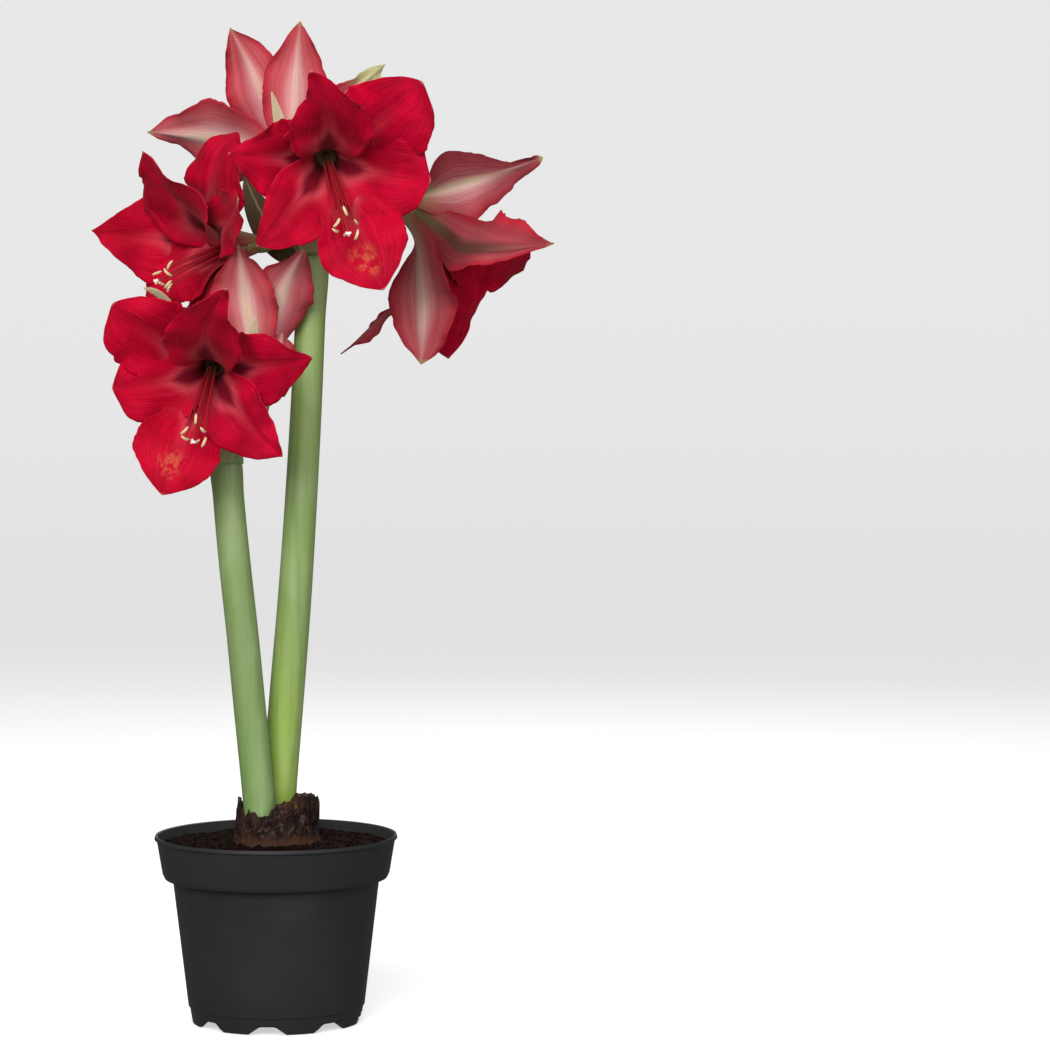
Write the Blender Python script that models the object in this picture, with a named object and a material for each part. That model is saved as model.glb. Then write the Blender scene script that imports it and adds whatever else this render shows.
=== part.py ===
"""Amaryllis in a nursery pot.

One bulb carries two leafless scapes.  The taller one ends in four blooms, the
shorter one in two.  Lengths are written in millimetres and turned into metres
where the meshes are made.  +Z is up and the blooms at the front face -Y.
"""
import math

import bmesh
import bpy
import numpy as np

for ob in list(bpy.data.objects):
    bpy.data.objects.remove(ob, do_unlink=True)

MM = 0.001
GAP = 0.3                     # air between two pieces that touch on the real plant
WELD = 0.02                   # corners closer than this become one after a Boolean
FLAT_ANGLE = math.radians(0.3)

# pot
POT_SIDES = 32
RIM_RADIUS = 85.0
POT_HEIGHT = 131.0
FOOT_RADIUS = 58.9
FOOT_HEIGHT = 11.0
BODY_RADIUS_LOW = 61.7
BODY_RADIUS_HIGH = 71.8
BAND_RADIUS = 79.4
BAND_BOTTOM = 101.0
FLOOR_UNDERSIDE = 6.5
WALL = 1.4
NOTCHES = 8
NOTCH_WIDTH_BOTTOM = 27.0
NOTCH_WIDTH_TOP = 11.0
NOTCH_HEIGHT = 6.0
NOTCH_TURN = -2.7             # degrees, the first notch against the front
DRAIN_HOLES = 4
DRAIN_HOLE_RADIUS = 4.0
DRAIN_RING_RADIUS = 36.0

# soil
SOIL_EDGE_HEIGHT = 124.0
SOIL_CROWN_HEIGHT = 127.0
SOIL_CRUMB = 1.3

# bulb
BULB_SIDES = 24
BULB_CENTRE = (1.0, 2.0)
BULB_BOTTOM = 62.0
BULB_RADIUS = 39.0
NECK_RADIUS = 29.0
NECK_TOP = 151.0
SOCKET_FLOOR = 134.0

# scapes: centre line as (x, y, z) with the radius at that height
SCAPE_SIDES = 12
TALL_SCAPE = [
    (0.0, 13.5, 134.3, 12.0), (1.8, 14.0, 165, 12.2), (6.8, 14.5, 226, 12.2), (12.6, 15.0, 295, 11.8),
    (17.4, 15.0, 365, 11.3), (21.5, 14.5, 435, 10.9), (24.2, 14.0, 490, 10.6), (26.2, 14.0, 538, 10.8),
    (26.4, 14.0, 546, 9.6), (26.5, 14.0, 551, 5.5),
]
SHORT_SCAPE = [
    (-9.6, -11.0, 134.3, 11.0), (-12.0, -11.0, 165, 11.2), (-17.8, -11.0, 226, 11.2),
    (-22.4, -11.5, 275, 11.1), (-27.4, -12.0, 323, 11.0), (-31.4, -12.0, 368, 10.8),
    (-33.2, -12.0, 394, 10.9), (-33.5, -12.0, 401, 9.6), (-33.6, -12.0, 405, 5.5),
]
PEDICEL_RADIUS = 3.9
OVARY_RADIUS = 6.4
OVARY_LENGTH = 17.0

# blooms
PETAL_THICKNESS = 0.9
PETAL_ROWS = 8
PETAL_COLUMNS = 4
TUBE_RADIUS = 6.0
TUBE_SLOPE = 14.0             # degrees, how fast the tube opens
TUBE_PLUG_RADIUS = 7.3
TUBE_PLUG_LENGTH = 3.0
RUFFLE = 2.5
RUFFLE_WAVES = 3.6
CREASE = 2.0

# stamens and style
FILAMENT_RADIUS = 0.85
ANTHER_LENGTH = 8.0
ANTHER_RADIUS = 1.3
STAMEN_LENGTH = 88.0
STYLE_LENGTH = 97.0


# shares of the half width on each side of the middle line, and where along the petal they hold
EVEN = (1.0, 1.0, 1.0, 1.0, 1.0)
TRIM_AT = (0.15, 0.35, 0.5, 0.65, 0.8, 0.93, 1.0)


def petal(root, angle, length, width, spread, curl, outer, flare=(0.12, 0.54), widest=0.6, sway=0.0,
          twist=0.0, turn=(0.3, 1.0), point=0.5, left=EVEN, right=EVEN):
    """One petal: where it leaves the tube and where it points (degrees), its size, bend and outline."""
    return dict(root=root, angle=angle, length=length, width=width, spread=spread, curl=curl, outer=outer,
                flare=flare, widest=widest, sway=sway, twist=twist, turn=turn, point=point,
                left=left, right=right)


# base: end of the ovary; yaw 0 faces -Y and grows towards +X; pitch is up from level;
# the stamens sink towards droop, by sag times their length; reach is that length's share
BLOOMS = {
    "tall_front": dict(base=(37, -16, 604), yaw=5, pitch=-14, droop=-70, sag=0.38, reach=1.05, petals=[
        petal(106, 86, 127, 54, 40, 66, False, sway=14, twist=-6, point=0.4,
              left=(1.05, 1.15, 1.0, 0.6, 0.6), right=(1.0, 1.05, 1.1, 1.05, 1.0)),
        petal(46, 46, 119, 62, 54, 94, True, widest=0.66, point=0.1, right=(1.0, 1.0, 1.1, 1.2, 1.35)),
        petal(-14, -3, 94, 56, 50, 88, False, point=0.0, left=(1.0, 0.95, 1.0, 1.35, 2.0),
              right=(1.0, 1.0, 1.05, 1.2, 1.5)),
        petal(-74, -64, 122, 66, 44, 74, True, point=0.2, left=(1.0, 1.05, 1.1, 1.15, 1.1),
              right=(1.0, 1.0, 1.0, 1.1, 1.1)),
        petal(-134, -134, 94, 54, 52, 88, False, point=0.5, left=(1.0, 1.05, 1.1, 1.1, 1.2),
              right=(1.0, 0.95, 0.8, 0.7, 0.8)),
        petal(166, 169, 92, 56, 52, 82, True, point=0.7),
    ]),
    "tall_back": dict(base=(12, 22, 578), yaw=188, pitch=45, droop=-90, sag=0.33, reach=1.0, petals=[
        petal(-11, -6, 130, 62, 60, 85, True, point=0.8, left=(1.1, 1.25, 1.25, 1.15, 1.0)),
        petal(49, 60, 125, 52, 48, 75, False, point=0.6),
        petal(109, 94, 122, 47, 46, 70, True, point=0.6),
        petal(169, 147, 119, 54, 50, 70, False, point=0.8, right=(1.0, 0.8, 0.6, 0.55, 0.7)),
        petal(229, 235, 100, 52, 50, 80, True),
        petal(289, 305, 118, 52, 50, 80, False),
    ]),
    "tall_right": dict(base=(84, 8, 574), yaw=118, pitch=-30, droop=-105, sag=0.15, reach=0.68, petals=[
        petal(65, 25, 138, 60, 8, 46, False, point=0.2),
        petal(125, 97, 105, 62, 46, 60, True, flare=(0.0, 0.19), sway=15, twist=75, turn=(0.05, 0.45),
              widest=0.42, point=0.3, left=(1.0, 0.9, 0.75, 0.55, 0.7), right=(0.8, 0.72, 0.52, 0.22, 0.35)),
        petal(185, 206, 139, 62, 88, 11, False, flare=(0.08, 0.42), sway=-32, widest=0.5, point=0.7,
              left=(0.7, 0.48, 0.48, 0.55, 0.6), right=(1.0, 1.15, 1.15, 1.3, 1.1)),
        petal(245, 288, 120, 56, 50, 65, True, flare=(0.10, 0.43), sway=-6, twist=-50, turn=(0.15, 0.8),
              point=0.3, left=(0.9, 0.95, 1.0, 1.1, 1.1), right=(1.0, 1.0, 0.9, 0.9, 1.0)),
        petal(305, 300, 129, 66, 41, 49, False, twist=60, turn=(0.2, 0.8), left=(1.2, 1.35, 1.4, 1.3, 1.2),
              right=(0.8, 0.5, 0.5, 0.7, 1.0)),
        petal(5, -47, 157, 20, 85, 100, True, left=(0.6, 0.5, 0.6, 1.0, 1.0),
              right=(0.6, 0.5, 0.6, 1.0, 1.0)),
    ]),
    "tall_left": dict(base=(-14, 5, 543), yaw=-48, pitch=-4, droop=-50, sag=0.31, reach=1.0, petals=[
        petal(108, 89, 113, 66, 39, 62, False, point=0.8, right=(1.1, 1.2, 1.15, 1.0, 1.0)),
        petal(48, 67, 114, 64, 67, 142, True, point=0.3, left=(0.9, 0.75, 0.7, 0.7, 0.8),
              right=(1.0, 1.1, 1.2, 1.2, 1.1)),
        petal(-12, 23, 115, 42, 68, 67, False, point=0.2),
        petal(-72, -102, 72, 42, 44, 88, True),
        petal(-132, -147, 83, 54, 42, 88, False),
        petal(168, 168, 113, 64, 42, 63, True, point=0.9),
    ]),
    "short_front": dict(base=(-39, -20, 461), yaw=-5, pitch=-14, droop=-92, sag=0.34, reach=1.0, petals=[
        petal(74, 85, 136, 50, 40, 66, False, sway=-14, twist=6, point=0.4,
              left=(1.0, 1.1, 1.1, 1.0, 1.0), right=(1.05, 1.1, 0.95, 0.65, 0.7)),
        petal(134, 135, 108, 60, 54, 94, True, widest=0.66, point=0.1, left=(1.0, 1.0, 1.0, 1.05, 1.25)),
        petal(194, 183, 84, 54, 50, 88, False, point=0.0, left=(1.0, 1.0, 1.0, 1.15, 1.5),
              right=(1.0, 0.95, 1.0, 1.1, 1.3)),
        petal(254, 249, 112, 63, 44, 74, True, point=0.2, left=(1.0, 1.0, 1.0, 1.1, 1.1),
              right=(1.0, 1.05, 1.1, 1.2, 1.15)),
        petal(314, 318, 98, 50, 52, 88, False, point=0.5, left=(1.0, 0.95, 0.85, 0.75, 0.8),
              right=(1.0, 1.05, 1.1, 1.1, 1.2)),
        petal(14, 16, 110, 54, 52, 82, True, point=0.7),
    ]),
    "short_back": dict(base=(-10, -23, 427), yaw=-172, pitch=64, droop=-90, sag=0.33, reach=1.0, petals=[
        petal(182, 140, 62, 32, 20, 12, True, point=0.1),
        petal(122, 111, 121, 52, 48, 75, False, point=0.6),
        petal(62, 79, 123, 42, 46, 70, True, point=0.6, right=(1.0, 1.1, 1.25, 1.25, 1.1)),
        petal(2, -12, 76, 30, 15, 22, False),
        petal(-58, -80, 96, 34, 38, 70, True),
        petal(-118, -94, 98, 52, 36, 55, False),
    ]),
}

BRACT_ROWS = 7

# papery bracts round each flower head: path from the collar to the tip, and the width
BRACTS = {
    "spathe_tall": dict(collar=TALL_SCAPE[-3], blades=[
        ([(18.5, 23.0, 537), (6, 29, 541), (-13, 33, 557), (-22, 29, 591)], 26.0, (0.2, -1.0, 0.0)),
        ([(24.1, 2.3, 537), (23, -3.5, 546), (10, -7, 606), (-1, -3, 648)], 17.0, (-0.2, -1.0, 0.0)),
    ]),
    "spathe_short": dict(collar=SHORT_SCAPE[-3], blades=[
        ([(-40.8, -21.1, 393), (-64, -15, 430), (-54, -36, 508), (-86, -44, 512)], 15.0, (-0.62, -0.78, 0.1)),
        ([(-37.3, -23.4, 393), (-36, -32, 403), (-18, -46, 440), (-9, -51, 493)], 17.0, (-0.2, -1.0, 0.0)),
    ]),
}


def smooth(t):
    """Ease from 0 to 1 without a corner at either end."""
    t = np.clip(t, 0.0, 1.0)
    return t * t * (3.0 - 2.0 * t)


def unit(v):
    """A vector of length one."""
    v = np.asarray(v, float)
    return v / np.linalg.norm(v)


def make_material(name, colour, roughness, metallic=0.0):
    """A plain Principled material."""
    mat = bpy.data.materials.new(name)
    mat.use_nodes = True
    shader = mat.node_tree.nodes["Principled BSDF"]
    shader.inputs["Base Color"].default_value = (*colour, 1.0)
    shader.inputs["Roughness"].default_value = roughness
    shader.inputs["Metallic"].default_value = metallic
    mat.diffuse_color = (*colour, 1.0)
    return mat


POT_BLACK = make_material("pot_black_plastic", (0.018, 0.018, 0.020), 0.42)
SOIL_BROWN = make_material("soil_brown", (0.040, 0.018, 0.010), 0.95)
BULB_BROWN = make_material("bulb_skin_brown", (0.130, 0.055, 0.028), 0.80)
SCAPE_GREEN = make_material("scape_green", (0.190, 0.330, 0.090), 0.50)
BRACT_GREEN = make_material("bract_olive", (0.330, 0.330, 0.150), 0.60)
PETAL_RED = make_material("petal_red", (0.600, 0.008, 0.020), 0.50)
STAMEN_RED = make_material("stamen_red", (0.550, 0.060, 0.050), 0.50)


def mesh_object(name, verts, faces, material):
    """Closed mesh from millimetre points; every face turned outwards."""
    mesh = bpy.data.meshes.new(name)
    mesh.from_pydata([tuple(MM * np.asarray(v, float)) for v in verts], [], faces)
    mesh.materials.append(material)
    bm = bmesh.new()
    bm.from_mesh(mesh)
    bmesh.ops.recalc_face_normals(bm, faces=bm.faces)
    bmesh.ops.triangulate(bm, faces=bm.faces)
    bm.to_mesh(mesh)
    bm.free()
    obj = bpy.data.objects.new(name, mesh)
    bpy.context.scene.collection.objects.link(obj)
    return obj


def island_volumes(bm):
    """The separate shells of a mesh, each with its signed volume."""
    seen = set()
    shells = []
    for start in bm.faces:
        if start in seen:
            continue
        seen.add(start)
        stack = [start]
        shell = []
        while stack:
            face = stack.pop()
            shell.append(face)
            for edge in face.edges:
                for other in edge.link_faces:
                    if other not in seen:
                        seen.add(other)
                        stack.append(other)
        volume = sum(f.verts[0].co.dot(f.verts[1].co.cross(f.verts[2].co)) for f in shell) / 6.0
        shells.append((volume, shell))
    return shells


def in_order(mesh):
    """The same mesh with its corners and faces sorted by place, so that every run welds alike."""
    corners = np.array([vertex.co[:] for vertex in mesh.vertices])
    order = np.lexsort(np.round(corners, 7).T)
    rank = np.argsort(order)
    faces = []
    for polygon in mesh.polygons:
        loop = [int(rank[i]) for i in polygon.vertices]
        first = loop.index(min(loop))
        faces.append(tuple(loop[first:] + loop[:first]))
    result = bpy.data.meshes.new(mesh.name)
    result.from_pydata([tuple(corner) for corner in corners[order]], [], sorted(faces))
    return result


def combine(name, body, tools, operation, material, solver="MANIFOLD"):
    """Join the tools to the body, or cut them from it, in one Boolean; keep the one main shell."""
    group = bpy.data.collections.new(name + "_tools")
    bpy.context.scene.collection.children.link(group)
    for tool in tools:
        bpy.context.scene.collection.objects.unlink(tool)
        group.objects.link(tool)
    mod = body.modifiers.new("combine", "BOOLEAN")
    mod.operation = operation
    mod.operand_type = "COLLECTION"
    mod.collection = group
    mod.solver = solver
    bpy.context.view_layer.update()
    depsgraph = bpy.context.evaluated_depsgraph_get()
    mesh = in_order(bpy.data.meshes.new_from_object(body.evaluated_get(depsgraph)))
    for tool in tools:
        bpy.data.objects.remove(tool, do_unlink=True)
    bpy.data.collections.remove(group)
    bpy.data.objects.remove(body, do_unlink=True)
    bm = bmesh.new()
    bm.from_mesh(mesh)
    bmesh.ops.triangulate(bm, faces=bm.faces)
    bmesh.ops.remove_doubles(bm, verts=bm.verts, dist=WELD * MM)
    bmesh.ops.dissolve_degenerate(bm, edges=bm.edges, dist=WELD * MM / 2.0)
    bmesh.ops.dissolve_limit(bm, angle_limit=FLAT_ANGLE, verts=bm.verts, edges=bm.edges)
    bmesh.ops.triangulate(bm, faces=bm.faces)
    bmesh.ops.dissolve_degenerate(bm, edges=bm.edges, dist=WELD * MM / 2.0)
    bmesh.ops.triangulate(bm, faces=bm.faces)
    shells = island_volumes(bm)
    main = max(shells, key=lambda item: item[0])[1]
    spare = [face for volume, shell in shells if shell is not main for face in shell]
    if spare:
        bmesh.ops.delete(bm, geom=spare, context="FACES")
    bm.to_mesh(mesh)
    bm.free()
    mesh.name = name
    mesh.materials.clear()
    mesh.materials.append(material)
    obj = bpy.data.objects.new(name, mesh)
    bpy.context.scene.collection.objects.link(obj)
    return obj


def lathe(name, profile, sides, material, centre=(0.0, 0.0), height=None):
    """Closed body of revolution from (radius, z) points that begin and end on the axis."""
    verts = []
    rings = []
    for k, (radius, z) in enumerate(profile):
        if radius <= 0.0:
            rings.append([len(verts)])
            verts.append((centre[0], centre[1], z))
            continue
        ring = []
        for i in range(sides):
            a = 2.0 * math.pi * i / sides
            r, zz = (radius, z) if height is None else height(k, a, radius, z)
            ring.append(len(verts))
            verts.append((centre[0] + r * math.cos(a), centre[1] + r * math.sin(a), zz))
        rings.append(ring)
    faces = []
    for low, high in zip(rings[:-1], rings[1:]):
        for i in range(sides):
            j = (i + 1) % sides
            if len(low) == 1:
                faces.append((low[0], high[i], high[j]))
            elif len(high) == 1:
                faces.append((low[i], high[0], low[j]))
            else:
                faces.append((low[i], low[j], high[j]))
                faces.append((low[i], high[j], high[i]))
    return mesh_object(name, verts, faces, material)


def sweep(name, path, radii, sides, material, squash=1.0, lobes=0.0):
    """Round bar along a path of points, closed flat at both ends."""
    path = np.asarray(path, float)
    tangents = np.gradient(path, axis=0)
    side = unit(np.cross(tangents[0], (0.0, 1.0, 0.3)))
    verts = []
    for point, tangent, radius in zip(path, tangents, radii):
        t = unit(tangent)
        side = unit(side - t * side.dot(t))
        over = np.cross(t, side)
        for i in range(sides):
            a = 2.0 * math.pi * i / sides
            r = radius * (1.0 + lobes * math.cos(3.0 * a))
            verts.append(point + r * math.cos(a) * side + r * squash * math.sin(a) * over)
    faces = []
    for k in range(len(path) - 1):
        for i in range(sides):
            j = (i + 1) % sides
            a, b = k * sides + i, k * sides + j
            faces.append((a, b, b + sides))
            faces.append((a, b + sides, a + sides))
    faces.append(tuple(range(sides - 1, -1, -1)))
    faces.append(tuple(range(len(verts) - sides, len(verts))))
    return mesh_object(name, verts, faces, material)


def sheet(name, middle, normals, thickness, material):
    """Closed blade from a grid of middle points, with the same triangles on both faces."""
    rows, columns = middle.shape[:2]
    upper = (middle + normals * thickness / 2.0).reshape(-1, 3)
    lower = (middle - normals * thickness / 2.0).reshape(-1, 3)
    verts = np.concatenate([upper, lower])
    shift = rows * columns
    faces = []
    for i in range(rows - 1):
        for j in range(columns - 1):
            a = i * columns + j
            b, c, d = a + 1, a + columns + 1, a + columns
            if (j < columns // 2) == (i % 2 == 0):
                pair = ((a, b, c), (a, c, d))
            else:
                pair = ((a, b, d), (b, c, d))
            for p, q, r in pair:
                faces.append((p, q, r))
                faces.append((r + shift, q + shift, p + shift))
    edge = [j for j in range(columns)]
    edge += [i * columns + columns - 1 for i in range(1, rows)]
    edge += [(rows - 1) * columns + j for j in range(columns - 2, -1, -1)]
    edge += [i * columns for i in range(rows - 2, 0, -1)]
    for a, b in zip(edge, edge[1:] + edge[:1]):
        faces.append((b, a, a + shift))
        faces.append((b, a + shift, b + shift))
    return mesh_object(name, verts, faces, material)


def bezier(a, b, c, d, steps):
    """Points along a cubic curve."""
    a, b, c, d = (np.asarray(p, float) for p in (a, b, c, d))
    t = np.linspace(0.0, 1.0, steps)[:, None]
    u = 1.0 - t
    return u ** 3 * a + 3 * u ** 2 * t * b + 3 * u * t ** 2 * c + t ** 3 * d


def bloom_frame(bloom):
    """Axis out of the mouth, and the right and up of the bloom."""
    yaw, pitch = math.radians(bloom["yaw"]), math.radians(bloom["pitch"])
    axis = np.array([math.sin(yaw) * math.cos(pitch), -math.cos(yaw) * math.cos(pitch), math.sin(pitch)])
    right = np.array([math.cos(yaw), math.sin(yaw), 0.0])
    return axis, right, np.cross(axis, right)


def petal_surface(bloom, leaf, order):
    """Middle points and inward normals of one petal.

    The centre line bends in the half plane of the bloom axis: straight in the
    tube, out to the spread angle in the funnel, on to the curl angle at the tip.
    Across it the petal is part of the tube's round low down and flattens above.
    """
    axis, right, up = bloom_frame(bloom)
    steps = 200
    s = np.linspace(0.0, 1.0, steps + 1)
    flare_start, flare_end = leaf["flare"]
    slope = TUBE_SLOPE + (leaf["spread"] - TUBE_SLOPE) * smooth((s - flare_start) / (flare_end - flare_start))
    slope = slope + (leaf["curl"] - leaf["spread"]) * smooth((s - 0.5) / 0.5)
    slope = np.radians(slope)
    middle_slope = (slope[1:] + slope[:-1]) / 2.0
    step = leaf["length"] / steps
    start = TUBE_RADIUS + (0.8 if leaf["outer"] else 0.0)
    out = start + np.concatenate([[0.0], np.cumsum(np.sin(middle_slope)) * step])
    along = np.concatenate([[0.0], np.cumsum(np.cos(middle_slope)) * step])
    at = np.linspace(0.0, 1.0, PETAL_ROWS + 1) ** 0.92
    out, along, slope = (np.interp(at, s, values) for values in (out, along, slope))

    widest = leaf["widest"]
    root_half = math.pi * out[0] / 6.0 * 1.35
    half = root_half + (leaf["width"] / 2.0 - root_half) * smooth(at / widest) ** 0.85
    narrowing = ((at - widest) / (1.0 - widest)).clip(0.0) ** (2.0 - 0.8 * leaf["point"])
    half = half * np.clip(1.0 - narrowing, 0.0, 1.0) ** (0.75 + 0.35 * leaf["point"])
    half = np.maximum(half, 0.8)
    left_trim, right_trim = (np.interp(at, TRIM_AT, (1.0, *leaf[side], 1.0)) for side in ("left", "right"))
    if leaf["outer"]:
        flat = smooth((at - 0.18) / 0.34)
    else:
        flat = smooth((at - 0.36) / 0.36)
    bend = (1.0 - flat) / np.maximum(out, 1.0)
    across = np.linspace(-1.0, 1.0, PETAL_COLUMNS + 1)
    points = np.zeros((PETAL_ROWS + 1, PETAL_COLUMNS + 1, 3))
    for i in range(PETAL_ROWS + 1):
        root, angle = math.radians(leaf["root"]), math.radians(leaf["angle"])
        turn = root + (angle - root) * smooth(at[i] / 0.45) + math.radians(leaf["sway"]) * at[i] ** 2
        outward = math.cos(turn) * right + math.sin(turn) * up
        side = -math.sin(turn) * right + math.cos(turn) * up
        inward = math.sin(slope[i]) * axis - math.cos(slope[i]) * outward
        twist_start, twist_end = leaf["turn"]
        twist = math.radians(leaf["twist"]) * smooth((at[i] - twist_start) / (twist_end - twist_start))
        side, inward = (math.cos(twist) * side + math.sin(twist) * inward,
                        math.cos(twist) * inward - math.sin(twist) * side)
        x = half[i] * across * np.where(across > 0.0, left_trim[i], right_trim[i])
        if bend[i] < 1e-4:
            lateral, depth = x, 0.0 * x
        else:
            arc = np.clip(bend[i] * x, -2.6, 2.6)
            lateral, depth = np.sin(arc) / bend[i], (1.0 - np.cos(arc)) / bend[i]
        edge = smooth((at[i] - 0.35) / 0.25) * smooth((1.03 - at[i]) / 0.12)
        wave = np.sin(2 * math.pi * RUFFLE_WAVES * at[i] + 1.3 * order + np.where(across > 0, 0.0, 1.7))
        depth = depth + RUFFLE * edge * np.abs(across) ** 2.2 * wave
        depth = depth - CREASE * flat[i] * np.exp(-(across / 0.22) ** 2) * smooth((1.0 - at[i]) / 0.2)
        lift = 0.0 if leaf["outer"] else 0.9 + 4.0 * smooth(at[i] / 0.45)
        centre = along[i] * axis + out[i] * outward + lift * inward
        points[i] = centre + lateral[:, None] * side + depth[:, None] * inward
    du, dv = np.gradient(points, axis=0), np.gradient(points, axis=1)
    normals = np.cross(dv, du)
    normals /= np.linalg.norm(normals, axis=2, keepdims=True)
    return points + np.array(bloom["base"], float), normals


def build_bloom(key, bloom):
    """Six petals in two whorls, joined by the short plug at the bottom of the tube."""
    axis = bloom_frame(bloom)[0]
    base = np.array(bloom["base"], float)
    plug = sweep("plug", [base + GAP * axis, base + TUBE_PLUG_LENGTH * axis],
                 [TUBE_PLUG_RADIUS, TUBE_PLUG_RADIUS], 12, PETAL_RED)
    leaves = []
    for order, leaf in enumerate(bloom["petals"]):
        middle, normals = petal_surface(bloom, leaf, order)
        middle = middle + (GAP + 0.2) * axis
        leaves.append(sheet("petal", middle, normals, PETAL_THICKNESS, PETAL_RED))
    return combine("bloom_" + key, plug, leaves, "UNION", PETAL_RED)


def stamen_path(bloom, length, turn, start_radius, lean):
    """Line of a filament: with the tube first, sagging to the lower side, its end lifted again."""
    axis, right, up = bloom_frame(bloom)
    base = np.array(bloom["base"], float) + (TUBE_PLUG_LENGTH + GAP) * axis
    low = math.radians(bloom["droop"])
    sag = math.cos(low) * right + math.sin(low) * up
    own = math.cos(turn) * right + math.sin(turn) * up
    points = []
    for t in (0.0, 0.35, 0.7, 1.0):
        sink = length * (bloom["sag"] * t ** 1.6 - 0.05 * t ** 4)
        points.append(base + (1.5 + length * 0.96 * t) * axis + sink * sag + (start_radius + lean * t) * own)
    return np.array(points)


def build_stamens(key, bloom):
    """Six filaments with their anthers and the longer style, all from one small root."""
    axis = bloom_frame(bloom)[0]
    base = np.array(bloom["base"], float) + (TUBE_PLUG_LENGTH + GAP) * axis
    root = sweep("root", [base, base + 4.0 * axis], [3.3, 3.3], 6, STAMEN_RED)
    parts = []
    for k in range(6):
        turn = 2.0 * math.pi * (k + 0.5) / 6.0
        length = STAMEN_LENGTH * bloom["reach"] * (1.0 + 0.05 * math.cos(2.4 * k + 0.7))
        path = stamen_path(bloom, length, turn, 2.0, 5.5)
        radii = np.linspace(FILAMENT_RADIUS, 0.6 * FILAMENT_RADIUS, len(path))
        parts.append(sweep("filament", path, radii, 3, STAMEN_RED))
        swing = unit(np.cross(path[-1] - path[-2], (math.cos(1.9 * k), math.sin(1.9 * k), 0.6)))
        head = unit(swing + 0.5 * unit(path[-1] - path[-2]))
        middle = path[-1]
        ends = [middle - 0.5 * ANTHER_LENGTH * head, middle + 0.1 * head, middle + 0.5 * ANTHER_LENGTH * head]
        fat = [0.6 * ANTHER_RADIUS, ANTHER_RADIUS, 0.6 * ANTHER_RADIUS]
        parts.append(sweep("anther", ends, fat, 4, STAMEN_RED))
    path = stamen_path(bloom, STYLE_LENGTH * bloom["reach"], 0.0, 0.0, 0.0)
    parts.append(sweep("style", path, np.linspace(0.9, 0.7, len(path)), 3, STAMEN_RED))
    tip = unit(path[-1] - path[-2])
    parts.append(sweep("stigma", [path[-1] - 0.7 * tip, path[-1] + 2.0 * tip], [1.2, 1.7], 5, STAMEN_RED))
    return combine("stamens_" + key, root, parts, "UNION", STAMEN_RED, solver="EXACT")


def build_scape(name, line, keys):
    """The stout stalk with its flower stalks and ovaries grown from the head."""
    points = [p[:3] for p in line]
    radii = [p[3] for p in line]
    body = sweep("stalk", points, radii, SCAPE_SIDES, SCAPE_GREEN, squash=0.97)
    head = np.array(line[-1][:3], float) - (0.0, 0.0, 5.0)
    parts = []
    for key in keys:
        bloom = BLOOMS[key]
        axis = bloom_frame(bloom)[0]
        end = np.array(bloom["base"], float)
        back = end - OVARY_LENGTH * axis
        reach = np.linalg.norm(back - head)
        leave = unit((back - head) * (0.35, 0.35, 0.0) + (0.0, 0.0, reach))
        neck = bezier(head, head + 0.45 * reach * leave, back - 0.26 * reach * axis, back, 6)
        swell = [back + t * OVARY_LENGTH * axis for t in (0.3, 0.75, 1.0)]
        radii = [PEDICEL_RADIUS] * 5 + [1.1 * PEDICEL_RADIUS]
        radii += [0.92 * OVARY_RADIUS, OVARY_RADIUS, 0.88 * OVARY_RADIUS]
        parts.append(sweep("stalklet", list(neck) + swell, radii, 8, SCAPE_GREEN, lobes=0.05))
    return combine(name, body, parts, "UNION", SCAPE_GREEN)


def build_spathe(name, spec):
    """Two papery bracts on a thin collar that clasps the top of the scape."""
    x, y, z, radius = spec["collar"]
    inner, outer = radius + GAP + 0.2, radius + GAP + 1.4
    sides = SCAPE_SIDES
    verts = []
    for r, h in ((inner, z - 3.0), (outer, z - 3.0), (outer, z + 3.0), (inner, z + 3.0)):
        for i in range(sides):
            a = 2.0 * math.pi * i / sides
            verts.append((x + r * math.cos(a), y + r * math.sin(a), h))
    faces = []
    for k in range(4):
        low, high = k * sides, ((k + 1) % 4) * sides
        for i in range(sides):
            j = (i + 1) % sides
            faces.append((low + i, low + j, high + j))
            faces.append((low + i, high + j, high + i))
    collar = mesh_object("collar", verts, faces, BRACT_GREEN)
    blades = []
    for path, width, facing in spec["blades"]:
        line = bezier(*path, BRACT_ROWS)
        at = np.linspace(0.0, 1.0, BRACT_ROWS)
        half = 0.5 * width * np.clip(np.sin(math.pi * (0.22 + 0.78 * at)), 0.03, 1.0) ** 0.7
        tangents = np.gradient(line, axis=0)
        across = np.linspace(-1.0, 1.0, 4)
        middle = np.zeros((BRACT_ROWS, 4, 3))
        for i in range(BRACT_ROWS):
            t = unit(tangents[i])
            face = unit(np.array(facing) - t * np.dot(facing, t))
            side = np.cross(t, face)
            hollow = 0.30 * half[i] * across ** 2
            middle[i] = line[i] + (half[i] * across)[:, None] * side - hollow[:, None] * face
        du, dv = np.gradient(middle, axis=0), np.gradient(middle, axis=1)
        normals = np.cross(dv, du)
        normals /= np.linalg.norm(normals, axis=2, keepdims=True)
        blades.append(sheet("blade", middle, normals, 0.8, BRACT_GREEN))
    return combine(name, collar, blades, "UNION", BRACT_GREEN)


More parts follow.
